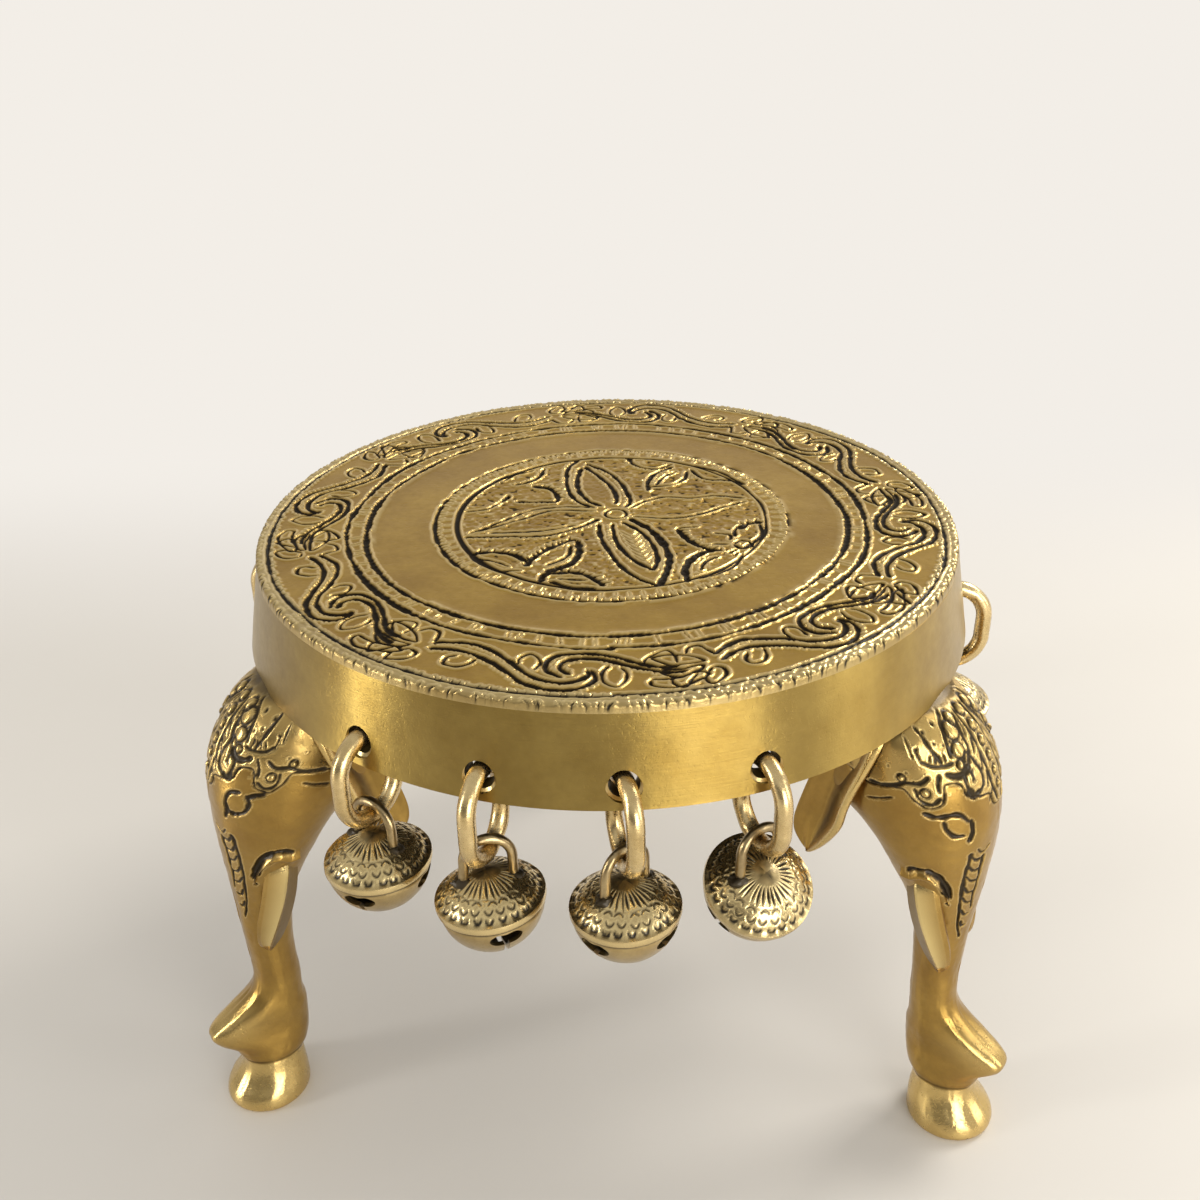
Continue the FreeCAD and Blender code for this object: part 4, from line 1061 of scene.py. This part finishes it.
def wire(path, normal, radius, closed, seed, sides=22, uneven=0.05):
    # A circle carried along a flat path, in the plane of the path's outward way and its normal. Noise swells
    # it, and fades out where a closed path meets itself.
    along = np.roll(path, -1, axis=0) - np.roll(path, 1, axis=0) if closed else np.gradient(path, axis=0)
    along /= np.linalg.norm(along, axis=1)[:, None]
    turn, place = fullTurn(sides), np.arange(len(path))[:, None] * 1.0
    swell = uneven * softNoise(place / 2, np.degrees(turn) / 20, 3.0, seed)
    if closed:
        swell = swell * np.clip(np.minimum(place, place[::-1]) / 12, 0, 1)
    section = np.cos(turn)[:, None] * np.cross(along, normal)[:, None] + np.sin(turn)[:, None] * normal
    return shell(path[:, None] + radius * (1 + swell)[..., None] * section, None if closed else path[[0, -1]])


def turnMatrix(axis, degrees):
    # Rotation about one axis: the cosine and the sine stand in the rows of the other two.
    first, second = {"x": (1, 2), "y": (2, 0), "z": (0, 1)}[axis]
    matrix = np.eye(3)
    matrix[first, first] = matrix[second, second] = math.cos(math.radians(degrees))
    matrix[second, first] = math.sin(math.radians(degrees))
    matrix[first, second] = -matrix[second, first]
    return matrix


def bellSeat(k):
    # Place of one bell in its row, the axes that its hole faces, and the hole's middle in the wall.
    facing = turnMatrix("z", bellAngle(k))
    return k % 4, facing, facing @ np.array((skirt["wallRadius"], 0, 0)) + (0, 0, ring["level"])


def halfCircle(arc, angles):
    # Points of a circle that stands in the plane of X and Z.
    return join(arc * np.cos(angles), 0, arc * np.sin(angles))


def makeRing(k):
    # A closed wire: two half circles, the upper one lifted, and straights between them.
    place, facing, pivot = bellSeat(k)
    axes = facing @ turnMatrix("z", ring["turn"][place])
    upper = halfCircle(ring["arc"], np.linspace(0, math.pi, 44, endpoint=False))
    lower = -upper - (0, 0, ring["straight"])
    upper = upper + (0, 0, ring["lift"])
    t = np.linspace(0, 1, 9)[1:-1, None]
    path = np.vstack([upper, between(upper[-1], lower[0], t), lower, between(lower[-1], upper[0], t)])
    path = (path - (0, 0, ring["arc"])) @ axes.T + pivot
    return buildMesh("ring%02d" % (k + 1), [wire(path, axes[:, 1], ring["wire"], True, 60 + k)])


def makeLoop(k):
    # An open wire: a half circle over the ring and two straights down to the crown. A lump of dark solder, a
    # squashed ball with noise in it, is round each foot.
    place, facing, pivot = bellSeat(k)
    axes = facing @ turnMatrix("z", 90 + loop["turn"][place])
    arc, foot = loop["arc"], loop["footRise"] - (loop["rise"] + bell["drop"])
    bend = halfCircle(arc, np.linspace(0, math.pi, 30))
    t = np.linspace(0, 1, 12)[:, None]
    first, last = between((arc + 0.1, 0, foot), bend[0], t), between(bend[-1], (-arc - 0.2, 0, foot), t)
    origin = pivot - (0, 0, ringHang) + (0, 0, loop["rise"])
    path = np.vstack([first[:-1], bend, last[1:]]) @ axes.T + origin
    parts = [wire(path, axes[:, 1], loop["wire"], False, 80 + k, 16, 0.1)]
    tilt = np.radians(np.linspace(-80, 80, 12))[:, None]
    ball = onCircle(np.cos(tilt), fullTurn(24), np.sin(tilt))
    ball = ball * (1 + 0.22 * softNoise(ball[..., 0] * 3, ball[..., 1] * 3 + ball[..., 2], 1.0, 90 + k))[..., None]
    for end in (first[0], last[-1]):
        lump, poles = ball * loop["solder"], np.array([[0, 0, -1.3], [0, 0, 1.3]])
        parts.append(shell(*((part + end + (0, 0, loop["solderRise"])) @ axes.T + origin for part in (lump, poles))))
    patinaAndShade = np.repeat((0.0, 0.9, 0.9), [len(part[0]) for part in parts])
    return buildMesh("bellLoop%02d" % (k + 1), parts, {"patinaAndShade": patinaAndShade, "polishAndHighlight": patinaAndShade * 0})


# Bell shell. Heights and radii are from the middle of its band.
def bellProfile():
    # The outside as (radius, height): the cap of a ball with a slight dip half way, the band and half an oval.
    radius, dome, bowl = bell["radius"], bell["dome"], bell["bowl"]
    ball = (radius ** 2 + dome ** 2) / (2 * dome)
    out = np.linspace(0.35, radius, 44)
    upper = join(out, dome - ball + np.sqrt(ball ** 2 - out ** 2) - 0.5 * np.sin(math.pi * out / radius) ** 2)
    down = np.linspace(2.2, bowl - 0.02, 22)
    lower = join(radius * np.sqrt(1 - (down / bowl) ** 2), -down)
    return np.vstack([upper[upper[:, 1] > 1.0], np.array(bell["band"]) + (radius, 0), lower])


def bellLines(seed):
    # Cuts of the dome in (degrees, distance from the axis): rays round the crown, rows of half-moon punches,
    # dots above the band and a scribed ring.
    random = np.random.default_rng(seed)
    count, low = bell["rays"], bell["rayFrom"]
    start = (np.arange(count) + random.uniform(-0.2, 0.2, count)) * 360 / count
    t = np.linspace(0, 1, 30)
    v = low + (random.uniform(*bell["rayTo"], (count, 1)) - low) * t
    half = 0.16 + 0.24 * np.sin(math.pi * t) * random.uniform(0.6, 1.2, (count, 1))
    lines = [(start[:, None] + 3 * t, v, half.ravel(), 5.5)]
    t = np.linspace(-1, 1, 11)
    for count, girth, width, height, half, phase in bell["punches"]:
        middle = (np.arange(count) + phase + random.uniform(-0.12, 0.12, count)) * 360 / count
        u = middle[:, None] + width * t / (girth * math.pi / 180)
        v = girth + height * (1 - t ** 2) + random.uniform(-0.15, 0.15, (count, 1))
        lines.append((u, v, half, girth))
    count = bell["dots"]
    lines.append((np.arange(count) * 360 / count + random.uniform(-2, 2, count), bell["dotsAt"], 0.42, 11.3))
    around = np.arange(0, 360, 0.8)
    lines.append((around, bell["scribedAt"] + 0.1 * wave(around, 11, seed), 0.14, bell["scribedAt"]))
    return [(join(u % 360, v).reshape(-1, 2), half, girth * math.pi / 180) for u, v, half, girth in lines]


def bellSurface(points, field):
    # How far the engraving lifts each place, how dark it is and how bright: the crown and the groove are dark, the
    # band is rubbed, and the cuts' edges are rubbed bright with a painted highlight.
    x, y, height = points.T
    girth = np.hypot(x, y)
    inside = readField(field, "inside", np.degrees(np.arctan2(y, x)) % 360, girth)
    upper = (height > 0.95) & (girth < bell["radius"] - 0.1)
    lift, patinaAndShade, polishAndHighlight = (values * upper for values in cutShape(inside, 1.0, 0.4, 0.05, 0.19))
    polishAndHighlight = np.clip(polishAndHighlight * 0.8 + hill(height, 0, 0.75) + 0.45 * upper, 0, 1)
    crown = 0.75 * upper * np.clip(1.25 - girth / 4.6, 0, 1) * (0.75 + 0.5 * softNoise(x, y, 1.3, 77))
    dark = np.clip(patinaAndShade + 0.9 * hill(height, -1.25, 0.28) + crown, 0, 1)
    return lift, dark, polishAndHighlight * (1 - 0.7 * np.clip(crown, 0, 1))


def bellCutters():
    # Four bean holes, from powers of the cosine with a dip on top, and two slits that cross below them.
    c, s = np.cos(fullTurn(40)), np.sin(fullTurn(40))
    high, level = bell["beanHeight"] / 2, bell["beanLevel"]
    across = (bell["beanWidth"] / 2 - high) * np.sign(c) * np.abs(c) ** 0.25 + high * c
    tall = high * s * (1 - 0.1 * np.cos(2 * fullTurn(40))) - 0.3 * hill(across, 0, 1.2) * (s > 0)
    beans = [(join(reach, across, tall - level), (reach, 0, -level)) for reach in (7.5, 14.0)]
    box = np.array(((-1, -1), (1, -1), (1, 1), (-1, 1))) * (13, bell["slit"] / 2)
    slits = [(join(*box.T, z), (0, 0, z)) for z in (-level - 0.4, -13.0)]
    for rows, count in ((beans, 4), (slits, 2)):
        grid, poles = (np.array([row[k] for row in rows]) for k in (0, 1))
        for quarter in range(count):
            matrix = turnMatrix("z", 90 * quarter).T
            yield shell(grid @ matrix, poles @ matrix)


def makeShellMaster(seed):
    # The engraved outside and a plain inside, less the holes and slits. Each vertex then takes its looks from its
    # place, and those that lie off the profile are inside and carry a painted shade.
    field = makeField((0, 0), (360, 13), (0.5, 0.08), bellLines(seed), 0.35)
    outer = turnedGrid(bellProfile(), 236, 0.05, seed)
    outer[..., 2] += bellSurface(outer.reshape(-1, 3), field)[0].reshape(outer.shape[:2])
    outside = shell(outer, [[0, 0, bell["dome"]], [0, 0, -bell["bowl"]]])
    radius, dome, bowl = (bell[key] - bell["wall"] for key in ("radius", "dome", "bowl"))
    tilt = np.linspace(1.5, -1.5, 24)
    inner = turnedGrid(join(radius * np.cos(tilt), np.where(tilt > 0, dome, bowl) * np.sin(tilt)), 64)
    points, quads, triangles = shell(inner, [[0, 0, dome], [0, 0, -bowl]])
    piece = buildMesh("bellMaster", [outside, (points, quads[:, ::-1], triangles[:, ::-1])])
    for cutter in bellCutters():
        applyCut(piece, buildMesh("bellCutter", [cutter]))
    points = readPlaces(piece.data.vertices, "co")
    lift, patinaAndShade, polishAndHighlight = bellSurface(points, field)
    seat = np.column_stack([np.hypot(points[:, 0], points[:, 1]), points[:, 2]])
    hidden = np.min([np.hypot(*(seat - spot).T) for spot in bellProfile()], axis=0) > 0.75
    # Painted shade: the shell's inside faces are made near black.
    setLayer(piece.data, "patinaAndShade", np.where(hidden, 0.85, patinaAndShade))
    setLayer(piece.data, "polishAndHighlight", np.where(hidden, 0, polishAndHighlight))
    piece.data.set_sharp_from_angle(angle=math.radians(40))
    return piece, points


def makeBells():
    # Two shells are made, and each bell is a copy of one of them: it is turned, rolled and leant by its place
    # in the row, and hung below the lowest place of its ring.
    masters = [makeShellMaster(700 + n) for n in range(2)]
    for k in range(12):
        place, facing, pivot = bellSeat(k)
        master, points = masters[k % 2]
        mesh = master.data.copy()
        mesh.name = "bellShell%02d" % (k + 1)
        axes = facing @ turnMatrix("y", bell["lean"][place]) @ turnMatrix("x", bell["roll"][place])
        axes = axes @ turnMatrix("z", bell["turn"][place] + 90 * (k % 3))
        moved = (points @ axes.T + pivot - (0, 0, ringHang + bell["drop"])) * 0.001
        mesh.vertices.foreach_set("co", moved.astype(np.float32).ravel())
        mesh.update()
        bellName, loopName, ringName = (kind % (k + 1) for kind in ("bell_%02d", "bell_loop_%02d", "ring_%02d"))
        dress(addObject(mesh.name, mesh), finishes["bellBrass"], bellName, (bellName,))
        dress(makeLoop(k), finishes["loopBrass"], bellName, (loopName,))
        dress(makeRing(k), finishes["ringBrass"], ringName, (ringName,))
    for master, points in masters:
        dropObject(master)


makeBells()
print("bells made")

pellet = {"dark": (0.05, 0.045, 0.04), "rust": (0.16, 0.08, 0.04), "scale": 700.0, "rough": (0.3, 0.4)}


def makeIron():
    # Noise drifts between dark iron and rust, and the rust is rougher.
    material, tree, shader, place = newMaterial("pelletIron")
    rust = noise(tree, place, pellet["scale"], 5.0)
    color = mixColor(tree, rust, pellet["dark"], pellet["rust"])
    rough = maths(tree, "MULTIPLY_ADD", rust, *pellet["rough"])
    setSockets(tree, shader, {"Base Color": color, "Metallic": 0.8, "Roughness": rough})
    return material


iron = makeIron()
for name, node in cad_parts.items():
    if name.startswith(("bell_pellet", "leg_screw")):
        node.data.materials.clear()
        node.data.materials.append(iron if name.startswith("bell_pellet") else finishes["castBrass"])

# Stage: pale floor, soft lights and the camera that the photograph was taken with, in metres and degrees.
stage = {
    "cameraAt": (-0.00285, -0.3118, 0.2969), "pitch": 28.56, "yaw": 0.14, "roll": -1.25,
    "focus": 1322.9, "image": 1200.0,  # in pixels
    "floor": (0.64, 0.612, 0.565), "vein": (0.50, 0.46, 0.41), "veinScale": 7.0, "veinStrength": 0.16,
    "floorRough": 0.55, "floorReach": 6.0,
    "wall": (0.895, 0.855, 0.80), "wallBehind": (0.15, 0.42), "wallAway": (0.55, 1.0),  # floor turns into wall
    "above": (0.60, 0.59, 0.57), "front": (0.12, 0.115, 0.11), "fill": (0.75, 0.73, 0.70),
    "roomWay": (0.55, 0.85), "roomBehind": (-0.75, 0.55), "roomAbove": (0.1, 0.6),
    "lights": (  # name, place, target, width, height, power, colour
        ("keyLight", (0.80, 0.42, 0.80), (0.0, 0.0, 0.08), 0.45, 0.45, 7.6, (1.0, 0.97, 0.92)),
        ("windowRight", (0.53, -1.10, 0.30), (0, 0, 0.14), 0.68, 0.56, 8.0, (1.0, 0.985, 0.95)),
        ("sideLeft", (-1.03, -0.31, 0.32), (0, 0, 0.13), 0.16, 0.60, 4.0, (1.0, 0.99, 0.97)),
        ("sideRight", (1.08, -0.36, 0.40), (0, 0, 0.12), 0.36, 0.7, 2.6, (1.0, 0.99, 0.97)),
    ),
}


def cameraRay(tree):
    # 1 for what the camera sees straight, 0 for all other light.
    return addNode(tree, "ShaderNodeLightPath").outputs["Is Camera Ray"]


def makeFloor():
    # Faintly veined stone. Behind the stool and far from it, the camera sees the wall's plain colour instead.
    reach, mesh = stage["floorReach"], bpy.data.meshes.new("floor")
    mesh.from_pydata([(x * reach, y * reach, 0) for x, y in ((-1, -1), (1, -1), (1, 1), (-1, 1))], [], [(0, 1, 2, 3)])
    material, tree, shader, place = newMaterial("paleStone")
    veins = noise(tree, place, stage["veinScale"], 8.0, Roughness=0.6, Distortion=1.4)
    color = mixColor(tree, maths(tree, "MULTIPLY", veins, stage["veinStrength"]), stage["floor"], stage["vein"])
    setSockets(tree, shader, {"Base Color": color, "Roughness": stage["floorRough"]})
    far = addNode(tree, "ShaderNodeVectorMath", {0: place}, operation="LENGTH").outputs["Value"]
    behind, away = ramp(tree, split(tree, place)[1], stage["wallBehind"]), ramp(tree, far, stage["wallAway"])
    share = maths(tree, "MULTIPLY", maths(tree, "MAXIMUM", behind, away), cameraRay(tree))
    wall = addNode(tree, "ShaderNodeEmission", {"Color": stage["wall"]}).outputs[0]
    mixed = addNode(tree, "ShaderNodeMixShader", {0: share, 1: shader.outputs[0], 2: wall}).outputs[0]
    setSockets(tree, tree.nodes["Material Output"], {"Surface": mixed})
    mesh.materials.append(material)
    floor = addObject("floor", mesh)


def seenRay(tree):
    # 1 for what the camera sees, straight or in a reflection, and 0 for the light that falls on things.
    path = addNode(tree, "ShaderNodeLightPath").outputs
    seen = maths(tree, "ADD", path["Is Camera Ray"], path["Is Glossy Ray"])
    return clamp(tree, maths(tree, "ADD", seen, path["Is Transmission Ray"]))


def makeWorld():
    # The room is pale behind the stool and to its right, and dim in front of it and to its left.
    world = bpy.data.worlds.new("paleRoom")
    bpy.context.scene.world = world
    world.use_nodes = True
    tree = world.node_tree
    x, y, z = split(tree, addNode(tree, "ShaderNodeTexCoord").outputs["Generated"])
    way = maths(tree, "MULTIPLY_ADD", x, stage["roomWay"][0], maths(tree, "MULTIPLY", y, stage["roomWay"][1]))
    room = mixColor(tree, ramp(tree, way, stage["roomBehind"]), stage["front"], stage["wall"])
    room = mixColor(tree, ramp(tree, z, stage["roomAbove"]), room, stage["above"])
    room = mixColor(tree, cameraRay(tree), room, stage["wall"])
    color = mixColor(tree, seenRay(tree), stage["fill"], room)
    setSockets(tree, tree.nodes["Background"], {"Color": color, "Strength": 1.0})


def placeObject(item, axes, location):
    # Axes are the item's right, up and back.
    matrix = np.eye(4)
    matrix[:3, :3], matrix[:3, 3] = np.transpose(axes), location
    item.matrix_world = Matrix(matrix)


def makeLights():
    # Soft rectangles; each looks along its own -Z at its target.
    for name, location, target, width, height, power, color in stage["lights"]:
        lamp = bpy.data.lights.new(name, "AREA")
        lamp.shape = "RECTANGLE"
        lamp.size, lamp.size_y, lamp.energy, lamp.color = width, height, power, color
        forward = np.array(target, float) - location
        forward /= np.linalg.norm(forward)
        right = np.cross(forward, (0, 0, 1.0))
        right /= np.linalg.norm(right)
        placeObject(addObject(name, lamp), (right, np.cross(right, forward), -forward), location)


def makeCamera():
    # Looks towards +Y, turned by yaw and down by pitch, then rolled about its own axis.
    pitch, yaw, roll = (math.radians(stage[key]) for key in ("pitch", "yaw", "roll"))
    forward = np.array((math.sin(yaw) * math.cos(pitch), math.cos(yaw) * math.cos(pitch), -math.sin(pitch)))
    level = np.array((math.cos(yaw), -math.sin(yaw), 0))
    rise = np.cross(level, forward)
    right = level * math.cos(roll) + rise * math.sin(roll)
    up = -level * math.sin(roll) + rise * math.cos(roll)
    lens = bpy.data.cameras.new("camera")
    lens.sensor_width = 36.0
    lens.lens = stage["focus"] / stage["image"] * lens.sensor_width
    lens.clip_start = 0.01
    camera = addObject("camera", lens)
    placeObject(camera, (right, up, -forward), stage["cameraAt"])
    bpy.context.scene.camera = camera


makeFloor()
makeWorld()
makeLights()
makeCamera()
bpy.context.scene.view_settings.view_transform = "Standard"
print("stage made")
